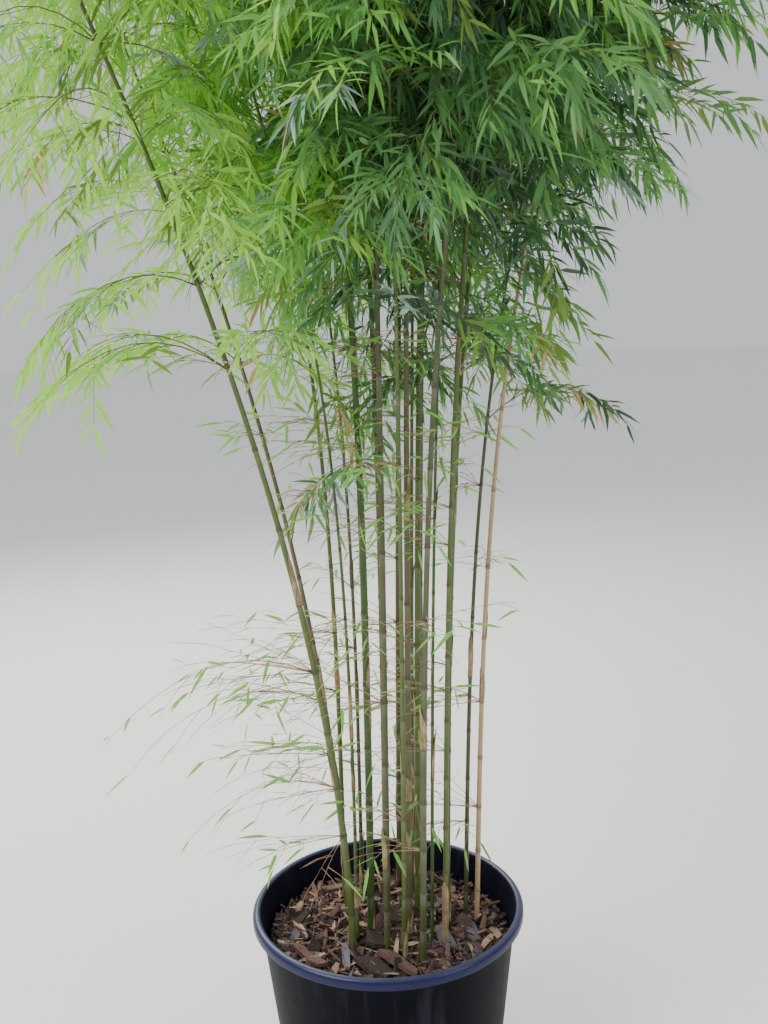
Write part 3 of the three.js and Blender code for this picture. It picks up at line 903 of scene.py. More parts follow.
print("tallest and shortest culm in mm:", round(culm_tall.max()), round(culm_tall.min()))

# %% The line, the girth and the joints of a culm
GAP = 0.3
CLUMP_TILT = 0.022
BOWED_SHARE = 0.93
TIP_TAPER = 0.36
TAPER_POWER = 1.15
INTERNODES = 18
JOINT_CROWDING = 0.05


def culm_point(k, share):
    """The middle line of culm k at a share of its height: the seat, plus the lean times a bent
    share (a mix of the share and a power of it), plus the tilt of the whole clump."""
    inside = np.minimum(share, 1)
    bow = culm_bow[k]
    bent = between(inside, np.maximum(inside, 0) ** bow, BOWED_SHARE)
    bent = bent + (share - inside) * between(1, bow, BOWED_SHARE)
    rise = culm_tall[k] * share
    x = culm_seat[k, 0] + culm_lean[k, 0] * bent + CLUMP_TILT * rise
    y = culm_seat[k, 1] + culm_lean[k, 1] * bent
    return np.stack([x, y, TOP_OF_FILL + GAP + rise], -1)


def stem_radius(k, share):
    """The culm's radius, falling from its foot to its tip by a power of the share."""
    return culm_radius[k] * between(1, TIP_TAPER, np.clip(share, 0, 1) ** TAPER_POWER)


def joint_share(j):
    """How far up joint j is: the joints are close at the foot and near the tip."""
    return j / INTERNODES - JOINT_CROWDING * np.sin(FULL_TURN * j / INTERNODES)


print("shares of the joints:", joint_share(np.arange(INTERNODES + 1)).round(2))

# %% The profile of a joint, as millimetres along the stem and how much wider it is there
JOINT_PROFILE = np.array(
    [
        [-14, 1.0], [-4, 1.01], [-1.9, 1.06], [-1.2, 1.2], [-0.6, 1.22], [-0.1, 1.07],
        [0.9, 1.1], [2.4, 1.15], [4.2, 1.09], [8, 1.01], [14, 1.0],
    ]
)
SMALL_TOP = 0.45
FOOT_FLARE = 1.2
FLARE_HEIGHT = 12
SWELL_AT_TOP = 1.2
TIP_WIDTH = 0.6
FAR_FROM_JOINT = 60
HAIR = 0.05


def stem_stations(k):
    """Shares up culm k, the swelling at each, and the distances to the joint below and to the
    joint above, up to 60 mm."""
    tall = culm_tall[k]
    shares, swell = [np.array([0, FLARE_HEIGHT / tall])], [np.array([FOOT_FLARE, 1.0])]
    for j in range(1, INTERNODES):
        small = between(1, SMALL_TOP, j / INTERNODES)
        shares.append(joint_share(j) + JOINT_PROFILE[:, 0] * small / tall)
        swell.append(1 + (JOINT_PROFILE[:, 1] - 1) * between(1, SWELL_AT_TOP, j / INTERNODES))
        shares.append(np.array([between(joint_share(j), joint_share(j + 1), 0.5)]))
        swell.append(np.ones(1))
    shares, swell = np.concatenate([*shares, [1.0]]), np.concatenate([*swell, [TIP_WIDTH]])
    joints = joint_share(np.arange(INTERNODES + 1))
    apart = (shares[:, None] - joints[None]) * tall
    above = np.where(apart >= -HAIR, apart, np.inf).min(1)
    below = np.where(apart <= HAIR, -apart, np.inf).min(1)
    return shares, swell, np.clip(above, 0, FAR_FROM_JOINT), np.clip(below, 0, FAR_FROM_JOINT)


print("stations along a culm:", len(stem_stations(0)[0]))

# %% [markdown]
# ### The culm's skin
#
# A young culm is green with a white bloom under each joint. With age the bloom greys, the green
# turns to olive and brown, and small dark spots appear. One culm has dried to straw. Rings by
# height alone would miss joints that lie at another height on each culm. So two attributes say how
# far a point is above a joint and how far below one, and the bloom and the scar follow the stem.
# Fine lengthwise streaks are noise that is stretched along it.

# %% Skin finish
def culm_skin(name, young, old, bloom, bloom_share):
    """Two greens mixed by stretched noise and the culm's own tone, a bloom that fades within
    30 mm below a joint, a brown scar at it and a dark stain just above it."""
    recipe = Finish(name)
    above = recipe.attribute("above_joint")
    below = recipe.attribute("below_joint")
    tone = recipe.attribute("tone")
    streak = recipe.noise(recipe.place(420, 420, 14), 1.0, 3.0)
    blotch = recipe.noise(recipe.place(30, 30, 11), 1.0, 4.0)
    age = recipe.step(streak * 0.35 + blotch * 0.5 + tone * 0.35, 0.38, 0.8)
    colour = recipe.mix(age, young, old)
    under = 1 - recipe.step(below, 3.0, 34.0)
    powder = (under * 0.75 + blotch * 0.3) * streak * 1.7
    colour = recipe.mix(powder * bloom_share, colour, bloom)
    stain = (1 - recipe.step(above, 2.0, 13.0)) * 0.55
    colour = recipe.mix(stain * blotch * 1.6, colour, tint(52, 44, 26))
    scar = 1 - recipe.step(below, 0.9, 2.2)
    colour = recipe.mix(scar * 0.85, colour, tint(118, 92, 62))
    spots = recipe.step(recipe.noise(recipe.place(1, 1, 0.5), 420.0, 1.0), 0.66, 0.72)
    colour = recipe.mix(spots * 0.5, colour, tint(44, 40, 28))
    sockets = {
        "Base Color": colour,
        "Roughness": 0.4 + powder * 0.3 + scar * 0.25,
        "Normal": recipe.bump(streak, 0.0003),
    }
    return recipe.end(sockets)


# The green and aged skins are painted darker than the culms' own colour, as painted shade for the
# shade that the culms stood in.
CULM_TONES = {
    "culm_green": ("green_culm", tint(54, 86, 26), tint(82, 94, 38), tint(138, 152, 118), 0.36),
    "culm_aged": ("aged_culm", tint(68, 80, 40), tint(98, 86, 56), tint(138, 140, 122), 0.46),
    "culm_straw": ("straw_culm", tint(188, 156, 120), tint(150, 114, 88), tint(206, 188, 160), 0.3),
}
CULM_SKINS = {slot: culm_skin(*tones) for slot, tones in CULM_TONES.items()}
print("skins:", ", ".join(CULM_SKINS))

# %% Which culm has which skin
AGED_SHARE = 0.45
STRAW_CULM = 13


def skin_of(k):
    """The slot of culm k, by the same chance as in the solid model."""
    if k == STRAW_CULM:
        return "culm_straw"
    return "culm_aged" if chance(k, 9, 0) > 1 - AGED_SHARE else "culm_green"


print("aged culms:", sum(skin_of(k) == "culm_aged" for k in culm_k))

# %% Make the culms
STEM_SIDES = 12
for k in culm_k:
    shares, swell, above, below = stem_stations(k)
    radii = stem_radius(k, shares) * swell
    points, faces = tubes(culm_point(k, shares)[None], radii[None], STEM_SIDES)
    values = {
        "above_joint": np.repeat(above, STEM_SIDES),
        "below_joint": np.repeat(below, STEM_SIDES),
        "tone": np.full(len(points), 1.0 if k in LEANERS else chance(k, 6, 0)),
    }
    number = f"{k + 1:02d}"
    stem = put_piece("stem_" + number, points, faces, CULM_SKINS[skin_of(k)], skin_of(k), values)
    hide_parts("culm_" + number)

# %% [markdown]
# ## Branches and twigs
#
# From its fork joint up, a culm carries a fan of branches at every joint, fewer where the crown
# thins out at its foot. Each branch rises, arches over and splits into twiglets. Leaves could be
# scattered through the room of the crown, but most would float, so all of it grows on from the
# culms. The bearing turns by the golden angle from joint to joint, as in the solid model, and the
# branch climbs by the same curve: rise times t, less a sag times t squared. Here there are more
# branches to a joint, and each one carries twiglets, fewer where light shows through the crown.
# Leaves sit along the twiglets in two rows, and they nod less at the far left. Tables of arrays
# hold all branches at once, then all twiglets, then all leaves. Pairs of numbers are ranges.

# %% Helpers for turns and for tables of arrays
def smooth(value, low, high):
    """0 under low, 1 over high, and the smooth cubic between."""
    t = np.clip((value - low) / (high - low), 0, 1)
    return t * t * (3 - 2 * t)


def about_up(vectors, turn):
    """Vectors turned about the vertical: (x cos a - y sin a, x sin a + y cos a, z)."""
    x, y, z = np.moveaxis(vectors, -1, 0)
    cos, sin = np.cos(turn), np.sin(turn)
    return np.stack([x * cos - y * sin, x * sin + y * cos, z], -1)


def chosen_from(table, kept):
    """The rows of a table of arrays where kept is true."""
    return {name: array[kept] for name, array in table.items()}


def stacked(first, second):
    """The rows of two tables, one after the other."""
    return {name: np.concatenate([array, second[name]]) for name, array in first.items()}


print("a smooth climb from 0 to 1:", smooth(np.linspace(0, 1, 5), 0, 1).round(2))

# %% How long a branch is
BRANCH_LENGTH = 225.0
SHORTEST_BRANCH = 0.35
CROWN_FOOT = 0.46
HALF_WAVE = (0.2, 0.93)
LENGTH_SCATTER = (0.75, 1.2)


def branch_length(k, j, side):
    """Longest half way up the crown and shortest at its top, by a half wave, times a scatter."""
    up_crown = (joint_share(j) - CROWN_FOOT) / (1 - CROWN_FOOT)
    swell = np.sin(np.pi * between(*HALF_WAVE, up_crown))
    scatter = between(*LENGTH_SCATTER, chance(k, j, 8 + side))
    return BRANCH_LENGTH * between(SHORTEST_BRANCH, 1, swell) * scatter


some_joints = np.array([10, 14, 18])
print("a branch at joints 10, 14 and 18 in mm:", branch_length(0, some_joints, 0).round())

# %% Growing the branches
TWIG_SAG = 0.62
FIRST_JOINT = 10
BRANCHES_PER_JOINT = 5
BARE_BELOW = 1450.0
FULL_ABOVE = 1880.0
FEWEST_BELOW = 0.14
FEWEST_ON_LEANERS = 0.42
ROOT_DEPTH = 0.003
CULM_TURN = 2.4
THICKEST_BRANCH = 1.7
SHARE_OF_STEM = 0.5
BEARING_SCATTER = 0.9
RISES = (0.75, 0.4)
RISE_SCATTER = (-0.2, 0.5)


def crown_branches():
    """The root, heading, length, rise and key of each branch, for every culm, joint and side."""
    grid = [
        (k, j, side)
        for k in culm_k
        for j in range(FIRST_JOINT, INTERNODES + 1)
        for side in range(BRANCHES_PER_JOINT)
    ]
    k, j, side = np.array(grid).T
    share = joint_share(j) - ROOT_DEPTH
    key = j + INTERNODES * side
    bearing = j * GOLDEN_ANGLE + CULM_TURN * k + side * FULL_TURN / BRANCHES_PER_JOINT
    bearing = bearing + BEARING_SCATTER * (chance(k, key, 51) - 0.5)
    rise = between(*RISES, share) + between(*RISE_SCATTER, chance(k, key, 52))
    root = culm_point(k, share)
    branch = {
        "k": k,
        "key": key,
        "root": root,
        "out": level_way(bearing),
        "length": branch_length(k, j, side),
        "rise": rise,
        "sag": np.full(len(k), TWIG_SAG),
        "radius": np.minimum(THICKEST_BRANCH, SHARE_OF_STEM * stem_radius(k, share)),
    }
    fewest = np.where(np.isin(k, LEANERS), FEWEST_ON_LEANERS, FEWEST_BELOW)
    crowded = between(fewest, 1.0, smooth(root[:, 2], BARE_BELOW, FULL_ABOVE))
    return chosen_from(branch, chance(k, key, 53) < crowded)


crown = crown_branches()
print("branches:", len(crown["k"]))

# %% Points along branches and twiglets
TWIGLET_SAG = 0.22
STEP_ALONG = 0.01


def point_along(table, t, climb):
    """Points (n, m) on each row's line: the root, plus out times length t, plus up times length
    climb."""
    size = table["length"][:, None]
    gone = table["out"][:, None] * (size * t)[..., None]
    return table["root"][:, None] + gone + UP * (size * climb)[..., None]


def branch_point(branch, t):
    """A branch climbs by rise t, less the sag times t squared."""
    return point_along(branch, t, branch["rise"][:, None] * t - branch["sag"][:, None] * t * t)


def twiglet_point(twiglet, t):
    """A twiglet goes straight on along its heading and sags by a fifth of t squared."""
    return point_along(twiglet, t, -TWIGLET_SAG * t * t)


def heading_at(point_of, table, t):
    """The direction of a line at t, from a point just before it to a point just after."""
    return unit(point_of(table, t + STEP_ALONG) - point_of(table, t - STEP_ALONG))


branch_tips = branch_point(crown, np.ones((len(crown["k"]), 1)))
print("highest branch tip in mm:", round(branch_tips[..., 2].max()))

# %% Twiglets on branches
TWIGLET_SCATTER = 0.1
TWIGLET_TURNS = (0.4, 1.1)
LAST_TWIGLET_TURN = 0.2
TWIGLET_LENGTHS = (0.5, 1)
FIRST_TWIGLET = 0.28
STUB = 18
KEYS_PER_BRANCH = 10
TWIGLETS = 9
CROWN_DROOP = 0.27
CROWN_TWIGLET = 0.5


def twiglets_of(branch, count, droop, furthest):
    """Twiglets along each branch, turned off it to one side and the other, the last one going
    straight on from its tip. The longest has the given share of the branch's length."""
    n = len(branch["k"])
    i = np.arange(count)[None]
    t = between(FIRST_TWIGLET, 1, (i + 1) / count) + np.zeros((n, 1))
    k, key = branch["k"][:, None], branch["key"][:, None]
    t[:, :-1] += TWIGLET_SCATTER * (chance(k, key, 60 + i) - 0.5)[:, :-1]
    t = np.minimum(t, 1)
    root = branch_point(branch, t)
    turn = np.where(i % 2, 1, -1) * between(*TWIGLET_TURNS, chance(k, key, 70 + i))
    turn[:, -1] *= LAST_TWIGLET_TURN
    heading = about_up(heading_at(branch_point, branch, t), turn)
    heading[..., 2] -= droop * chance(k, key, 80 + i)
    scatter = between(*TWIGLET_LENGTHS, chance(k, key, 90 + i))
    length = branch["length"][:, None] * furthest * scatter + STUB
    return {
        "k": np.broadcast_to(k, (n, count)).ravel(),
        "key": (key * KEYS_PER_BRANCH + i).ravel(),
        "root": root.reshape(-1, 3),
        "out": unit(heading).reshape(-1, 3),
        "length": length.ravel(),
    }


grown_twiglets = twiglets_of(crown, TWIGLETS, CROWN_DROOP, CROWN_TWIGLET)
print("twiglets on the branches:", len(grown_twiglets["k"]))

# %% Leaders at the tips, and gaps where light shows
LEADER_KEY = 9000
LEADER_LENGTHS = (60, 90)
NEAR_TIP = 0.99
OPEN_SHARE = 0.45
OPEN_FROM = (60, 190)
OPEN_TO = (380, 520)
OPEN_ABOVE = (1780, 1920)


def leaders():
    """A last twiglet that carries each culm's own line on past its tip."""
    tip = culm_point(culm_k, 1.0)
    return {
        "k": culm_k,
        "key": culm_k + LEADER_KEY,
        "root": tip,
        "out": unit(tip - culm_point(culm_k, NEAR_TIP)),
        "length": between(*LEADER_LENGTHS, chance(culm_k, 1, 54)),
    }


def opened(twiglet):
    """Fewer twiglets high up and left of the middle, where light shows between the leaves."""
    x, _, z = twiglet["root"].T
    seen_through = smooth(-x, *OPEN_FROM) * (1 - smooth(-x, *OPEN_TO)) * smooth(z, *OPEN_ABOVE)
    lost = chance(twiglet["k"], twiglet["key"], 162) >= 1 - OPEN_SHARE * seen_through
    return chosen_from(twiglet, ~lost)


crown_twiglets = stacked(opened(grown_twiglets), leaders())
print("twiglets of the crown:", len(crown_twiglets["k"]))

# %% Leaves on twiglets
LEAVES_PER_TWIGLET = 10
LONGEST_LEAF = 60.0
LEAF_LENGTHS = (0.5, 1.0)
FIRST_LEAF = 0.15
LEAF_TURNS = (0.35, 1.3)
LAST_LEAF_TURN = 0.3
LEAF_NODS = (-1.0, 0.95)
LEAF_ROLL = 2.2
LEFT_FADE = (100, 350)
LEAF_DROOPS = (0.8, 0.4)


def leaves_of(twiglet, count, longest, droop):
    """Leaves in two rows along each twiglet, some rising and some nodding by up to the droop, and
    one that ends it. The droop is a number for each twiglet."""
    n = len(twiglet["k"])
    i = np.arange(count)[None]
    t = between(FIRST_LEAF, 1, (i + 1) / count) + np.zeros((n, 1))
    k, key = twiglet["k"][:, None], twiglet["key"][:, None]
    root = twiglet_point(twiglet, t)
    turn = np.where(i % 2, 1, -1) * between(*LEAF_TURNS, chance(k, key, 110 + i))
    turn[:, -1] *= LAST_LEAF_TURN
    heading = about_up(heading_at(twiglet_point, twiglet, t), turn)
    heading[..., 2] -= droop[:, None] * between(*LEAF_NODS, chance(k, key, 120 + i))
    return {
        "root": root.reshape(-1, 3),
        "out": unit(heading).reshape(-1, 3),
        "length": (longest * between(*LEAF_LENGTHS, chance(k, key, 130 + i))).ravel(),
        "roll": (LEAF_ROLL * (chance(k, key, 140 + i) - 0.5)).ravel(),
        "spray": np.repeat(np.arange(n), count),
        "own": np.broadcast_to(chance(k, key, 150 + i), (n, count)).ravel(),
    }


leaf_droop = between(*LEAF_DROOPS, smooth(-crown_twiglets["root"][:, 0], *LEFT_FADE))
crown_leaves = leaves_of(crown_twiglets, LEAVES_PER_TWIGLET, LONGEST_LEAF, leaf_droop)
print("leaves:", len(crown_leaves["length"]))

# %% [markdown]
# ## Leaves
#
# A bamboo leaf is a narrow lance, widest a quarter of the way along, folded a little along its
# midrib and nodding at its tip. It could be a picture on a flat card, but a card shows no fold and
# vanishes from the side. Eight points and eight triangles are enough for its outline, and thousands
# are needed, so they stay that simple. The leaves differ in tone by the spray that they hang on,
# and
# most of that is painted light and shade: lighter and yellower on the left, where the light came
# from, darker inside and to the right. A few are olive and a few gone to straw, and a few blue-grey
# ones are a painted highlight, the shine of glossy leaves. Each tone is its own joined piece with a
# plain colour. A leaf lets some light through, which is what makes a crown glow.

# %% The shape of a leaf, for all leaves at once
LEAF_STATIONS = np.array([0.0, 0.24, 0.62, 1.0])
LEAF_WIDTHS = np.array([0.0, 1.0, 0.82, 0.0])
LEAF_FACES = np.array(
    [[0, 2, 1], [0, 3, 2], [1, 2, 5], [1, 5, 4], [2, 3, 6], [2, 6, 5], [4, 5, 7], [5, 6, 7]]
)
LEAF_POINTS = LEAF_FACES.max() + 1
FOLD = 0.28
LEAF_TILT = 0.35
SAG_DOWN, SAG_BACK = 0.6, 0.4
LEAST_CURL = 0.5


def leaf_points(leaf, slimness, curl):
    """The midrib runs out by the length times t and down by the curl times t squared. The two
    edges lie half a width to each side of it, lifted a little so that the blade is folded."""
    out = leaf["out"]
    level = unit(np.cross(out, UP + LEAF_TILT * np.roll(out, 1, axis=-1)))
    over = np.cross(level, out)
    roll = leaf["roll"][:, None]
    side = level * np.cos(roll) + over * np.sin(roll)
    face = np.cross(side, out)
    size = leaf["length"][:, None]
    t = LEAF_STATIONS[None]
    sag = curl * (LEAST_CURL + leaf["own"][:, None])
    rib = leaf["root"][:, None] + out[:, None] * (size * t)[..., None]
    rib = rib - (UP * SAG_DOWN + face[:, None] * SAG_BACK) * (size * sag * t * t)[..., None]
    half = size * slimness * LEAF_WIDTHS[None] / 2
    edge = side[:, None] * half[..., None]
    fold = face[:, None] * (half * FOLD)[..., None]
    left, right = rib - edge + fold, rib + edge + fold
    inner = np.stack([left, rib, right], 2)[:, 1:-1].reshape(len(out), -1, 3)
    return np.concatenate([rib[:, :1], inner, rib[:, -1:]], 1)


print("points and faces of a leaf:", LEAF_POINTS, len(LEAF_FACES))

# %% The tones: colour, colour of the light let through, its share, and roughness
LEAF_TONES = {
    "shade_green": (tint(56, 87, 64), tint(76, 124, 72), 0.24, 0.38),
    "deep_green": (tint(72, 111, 72), tint(100, 154, 82), 0.28, 0.38),
    "leaf_green": (tint(95, 141, 84), tint(130, 186, 98), 0.34, 0.38),
    # This tone is painted light, for sprays on the lit left and the outside of the crown.
    "lit_green": (tint(124, 177, 88), tint(158, 219, 104), 0.46, 0.4),
    "sunny_green": (tint(154, 206, 88), tint(186, 236, 102), 0.5, 0.42),
    # The blue-grey tone is a painted highlight: the shine of glossy leaves.
    "blue_grey": (tint(156, 176, 172), tint(130, 158, 122), 0.14, 0.32),
    "straw": (tint(182, 162, 104), tint(192, 170, 98), 0.2, 0.6),
    "olive": (tint(102, 130, 56), tint(144, 182, 68), 0.32, 0.42),
}
TONES = list(LEAF_TONES)
print("tones:", ", ".join(TONES))

# %% Which spray has which tone: each light is how much it adds and between which places it changes
LIGHT_STEPS = [0.3, 0.48, 0.68, 0.9]
LEAST_LIGHT = 0.02
FROM_LEFT = (0.53, -70, 220)
FROM_OUTSIDE = (0.14, 150, 520)
FROM_BELOW = (0.08, 1350, 1800)
CROWN_AXIS = (60, 40)
BY_BRANCH, BY_TWIGLET = 0.38, 0.36
BLUE_GREY_UNDER, OLIVE_OVER, STRAW_OVER = 0.04, 0.93, 0.988


def spray_tones(twiglet):
    """The number of the tone, which is painted light: light from the left, from outside and from
    below, plus a chance for each branch and one for each twiglet. A few are olive or straw in any
    light, and a few blue-grey as a painted highlight."""
    x, y, z = twiglet["root"].T
    k, key = twiglet["k"], twiglet["key"]
    away = np.hypot(x - CROWN_AXIS[0], y - CROWN_AXIS[1])
    left = FROM_LEFT[0] * smooth(-x, *FROM_LEFT[1:])
    outside = FROM_OUTSIDE[0] * smooth(away, *FROM_OUTSIDE[1:])
    low = FROM_BELOW[0] * (1 - smooth(z, *FROM_BELOW[1:]))
    branch_chance = BY_BRANCH * chance(k, key // KEYS_PER_BRANCH, 159)
    scatter = branch_chance + BY_TWIGLET * chance(k, key, 160)
    tone = np.digitize(LEAST_LIGHT + left + outside + low + scatter, LIGHT_STEPS)
    odd = chance(k, key, 161)
    # Blue-grey sprays are a painted highlight.
    tone = np.where(odd < BLUE_GREY_UNDER, TONES.index("blue_grey"), tone)
    tone = np.where(odd > OLIVE_OVER, TONES.index("olive"), tone)
    return np.where(odd > STRAW_OVER, TONES.index("straw"), tone)


twiglet_tone = spray_tones(crown_twiglets)
print("twiglets of each tone:", dict(zip(TONES, np.bincount(twiglet_tone).tolist())))

# %% Leaf finishes
def leaf_finish(name, colour, through, through_share, roughness):
    """A plain leaf colour with a soft gloss that lets some light through."""
    recipe = Finish(name)
    sockets = {"Base Color": colour, "Roughness": roughness, "Specular IOR Level": 0.5}
    return recipe.end(sockets, through, through_share)


LEAF_FINISHES = {tone: leaf_finish(tone, *look) for tone, look in LEAF_TONES.items()}
print("leaf finishes:", len(LEAF_FINISHES))

# %% Make the leaves of the crown
SLIMNESS = 0.13
CURL = 0.2


def put_leaves(name, shapes, finish, slot):
    """One piece of many leaves, given as points (n, 8, 3)."""
    return put_piece(name, shapes, [repeated(LEAF_FACES, len(shapes), LEAF_POINTS)], finish, slot)


def within_reach(points, low, high):
    """True for each leaf that keeps inside the box of the solid plant."""
    return ((points > low) & (points < high)).all((1, 2))


leaf_shapes = leaf_points(crown_leaves, SLIMNESS, CURL)
kept = within_reach(leaf_shapes, *(np.array(cad_box) / MM))
leaf_tone = twiglet_tone[crown_leaves["spray"]]
crown_nodes = [f"crown_{k + 1:02d}" for k in range(CULM_COUNT)]
for number, tone in enumerate(TONES):
    chosen = leaf_shapes[kept & (leaf_tone == number)]
    leaves = put_leaves("leaves_" + tone, chosen, LEAF_FINISHES[tone], "foliage")
    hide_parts(*crown_nodes)
print("leaves kept within reach:", int(kept.sum()), "of", len(kept))

# %% [markdown]
# ### The twigs that carry the leaves
#
# Branches and twiglets could be curves with a bevel, but one joined mesh is lighter than thousands
# of curves. They are tubes of three sides, which is enough for things a millimetre or two thick,
# made from the tables that the leaves grew on, so that each leaf sits on its twiglet. The bark has
# two tones in short streaks, greenish in the crown and dry brown below it.

# %% Bark of the twigs
def thin_bark(name, first, second):
    """The skin of a twig: two tones in short streaks, with a fine grain."""
    recipe = Finish(name)
    streak = recipe.noise(recipe.place(60, 60, 60), 1.0, 3.0)
    grain = recipe.noise(recipe.place(), 900.0, 1.0)
    colour = recipe.mix(recipe.step(streak, 0.35, 0.65), first, second)
    height = recipe.bump(grain, 0.0002)
    return recipe.end({"Base Color": colour, "Roughness": 0.5 + grain * 0.2, "Normal": height})


green_bark = thin_bark("green_twig_bark", tint(88, 110, 48), tint(128, 120, 66))
dry_bark = thin_bark("dry_twig_bark", tint(138, 104, 80), tint(186, 152, 122))
print("barks:", green_bark.name, "and", dry_bark.name)

# %% Make the branches and twiglets
BRANCH_STATIONS = np.linspace(0, 1, 7)
TWIGLET_STATIONS = np.linspace(0, 1, 3)
TWIGLET_RADIUS = 0.65
TWIG_SIDES = 3
BRANCH_TIP, TWIGLET_TIP = 0.4, 0.5
TWIGLET_TILT = 0.3


def branch_tubes(branch):
    """Branches as tubes that thin to two fifths."""
    radii = branch["radius"][:, None] * between(1, BRANCH_TIP, BRANCH_STATIONS)[None]
    across = np.cross(branch["out"], UP)
    lines = branch_point(branch, np.broadcast_to(BRANCH_STATIONS, radii.shape))
    return tubes(lines, radii, TWIG_SIDES, across)


def twiglet_tubes(twiglet):
    """Twiglets as tubes that thin to half."""
    widest = np.full((len(twiglet["k"]), 1), TWIGLET_RADIUS)
    radii = widest * between(1, TWIGLET_TIP, TWIGLET_STATIONS)[None]
    across = np.cross(twiglet["out"], UP + TWIGLET_TILT * np.roll(twiglet["out"], 1, axis=-1))
    lines = twiglet_point(twiglet, np.broadcast_to(TWIGLET_STATIONS, radii.shape))
    return tubes(lines, radii, TWIG_SIDES, across)


crown_twigs = joined([branch_tubes(crown), twiglet_tubes(crown_twiglets)])
twigs = put_piece("crown_twigs", *crown_twigs, green_bark, "thin_twig")
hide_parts(*crown_nodes)

# %% [markdown]
# ## Low twigs
#
# Below the crown, thin dry twigs stick out from the joints, most of them to the left and almost
# level. The main ones start on a flat of a culm in the solid model and follow the same line. Each
# is the longest rib of a small fan of fine straight twigs. The ribs could be drawn one by one, but
# they differ only by chance, so one function grows all fans: at the main twigs, at other low joints
# and, shorter, just under the crown. A few of them still carry short narrow leaves.

# %% The main low twigs
CULM_SIDES = 5
LOW_TWIGS = np.array([[9, 5, 1], [12, 4, 1], [12, 6, 1], [14, 5, 1], [4, 7, 2], [15, 7, 2]])
LOW_TWIG_LENGTH = 250.0
LOW_TWIG_LENGTHS = (0.8, 1.2)
LOW_TWIG_RISE = 0.58
LOW_TWIG_RADIUS = 1.2
LOW_TWIG_KEY = 60


def low_branches():
    """The low twigs as branches: the bearing of the culm's flat, and a low rise."""
    k, joint, flat = LOW_TWIGS.T
    bearing = np.pi / 2 + (2 * flat + 1) * np.pi / CULM_SIDES
    return {
        "k": k,
        "key": LOW_TWIG_KEY + joint,
        "root": culm_point(k, joint_share(joint)),
        "out": level_way(bearing),
        "length": LOW_TWIG_LENGTH * between(*LOW_TWIG_LENGTHS, chance(k, joint, 50)),
        "rise": np.full(len(k), LOW_TWIG_RISE),
        "sag": np.full(len(k), TWIG_SAG),
        "radius": np.full(len(k), LOW_TWIG_RADIUS),
    }


main_twigs = low_branches()
print("main low twigs:", len(main_twigs["k"]))

# %% Fans of fine ribs
FAN_RIBS = 6
FAN_SPREAD = 1.5
FAN_SCATTER = 0.5
FAN_KEY = 400
RIB_SHARE = 0.95
RIB_LENGTHS = (0.3, 1.0)
RIB_RISES = (0.05, 0.5)
RIB_SAGS = (0.0, 0.16)
RIB_RADII = (0.6, 1.05)


def fans(k, joint, bearing, longest):
    """Fans of straight ribs, each at a joint: the ribs spread evenly about the bearing, with a
    scatter, and each has its own length and a small rise."""
    i = np.tile(np.arange(FAN_RIBS), len(k))
    k, joint, bearing, longest = [np.repeat(a, FAN_RIBS) for a in (k, joint, bearing, longest)]
    key = FAN_KEY + joint * FAN_RIBS + i
    scatter = FAN_SCATTER * (chance(k, key, 171) - 0.5)
    turn = FAN_SPREAD * (i / (FAN_RIBS - 1) - 0.5) + scatter
    return {
        "k": k,
        "key": key,
        "root": culm_point(k, joint_share(joint)),
        "out": level_way(bearing + turn),
        "length": longest * between(*RIB_LENGTHS, chance(k, key, 172)),
        "rise": between(*RIB_RISES, chance(k, key, 173)),
        "sag": between(*RIB_SAGS, chance(k, key, 174)),
        "radius": between(*RIB_RADII, chance(k, key, 175)),
    }


main_bearing = np.arctan2(main_twigs["out"][:, 1], main_twigs["out"][:, 0])
main_fans = fans(*LOW_TWIGS[:, :2].T, main_bearing, RIB_SHARE * main_twigs["length"])
print("ribs of fans at the main low twigs:", len(main_fans["k"]))

# %% Fans under the crown and low down: joints, share of them, spread, shortest and longest rib
MORE_FANS = {
    "under the crown": (np.arange(7, 11), 0.42, 3.4, 90, 190),
    "low down": (np.arange(3, 7), 0.2, 1.6, 130, 300),
}
TO_THE_LEFT = math.pi


def left_fans(joints, share, spread, shortest, longest):
    """Fans at a share of the given joints of all culms, turned to the left within a spread."""
    k, joint = [grid.ravel() for grid in np.meshgrid(culm_k, joints, indexing="ij")]
    chosen = chance(k, joint, 176) < share
    k, joint = k[chosen], joint[chosen]
    bearing = TO_THE_LEFT + spread * (chance(k, joint, 177) - 0.5)
    return fans(k, joint, bearing, between(shortest, longest, chance(k, joint, 178)))


bare = stacked(main_twigs, main_fans)
for where, rule in MORE_FANS.items():
    grown = left_fans(*rule)
    bare = stacked(bare, grown)
    print("ribs of fans", where + ":", len(grown["k"]))

# %% Make the low twigs
LOW_TWIGLETS = 3
LOW_DROOP = 0.1
LOW_TWIGLET = 0.26
low_twiglets = twiglets_of(bare, LOW_TWIGLETS, LOW_DROOP, LOW_TWIGLET)
low_shape = joined([branch_tubes(bare), twiglet_tubes(low_twiglets)])
low_twigs = put_piece("low_twigs", *low_shape, dry_bark, "thin_twig")
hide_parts(*[f"low_twig_{i + 1}" for i in range(len(LOW_TWIGS))])

# %% Their few leaves
LOW_LEAVES = 4
LONGEST_LOW_LEAF = 62
LOW_LEAF_DROOP = 0.6
LOW_SLIMNESS = 0.11
LOW_LEAFY_SHARE = 0.17
low_droop = np.full(len(low_twiglets["k"]), LOW_LEAF_DROOP)
low_leaves = leaves_of(low_twiglets, LOW_LEAVES, LONGEST_LOW_LEAF, low_droop)
low_shapes = leaf_points(low_leaves, LOW_SLIMNESS, CURL)[low_leaves["own"] < LOW_LEAFY_SHARE]
# The low leaves take the crown's lit tone, which is painted light.
put_leaves("low_leaves", low_shapes, LEAF_FINISHES["lit_green"], "foliage")

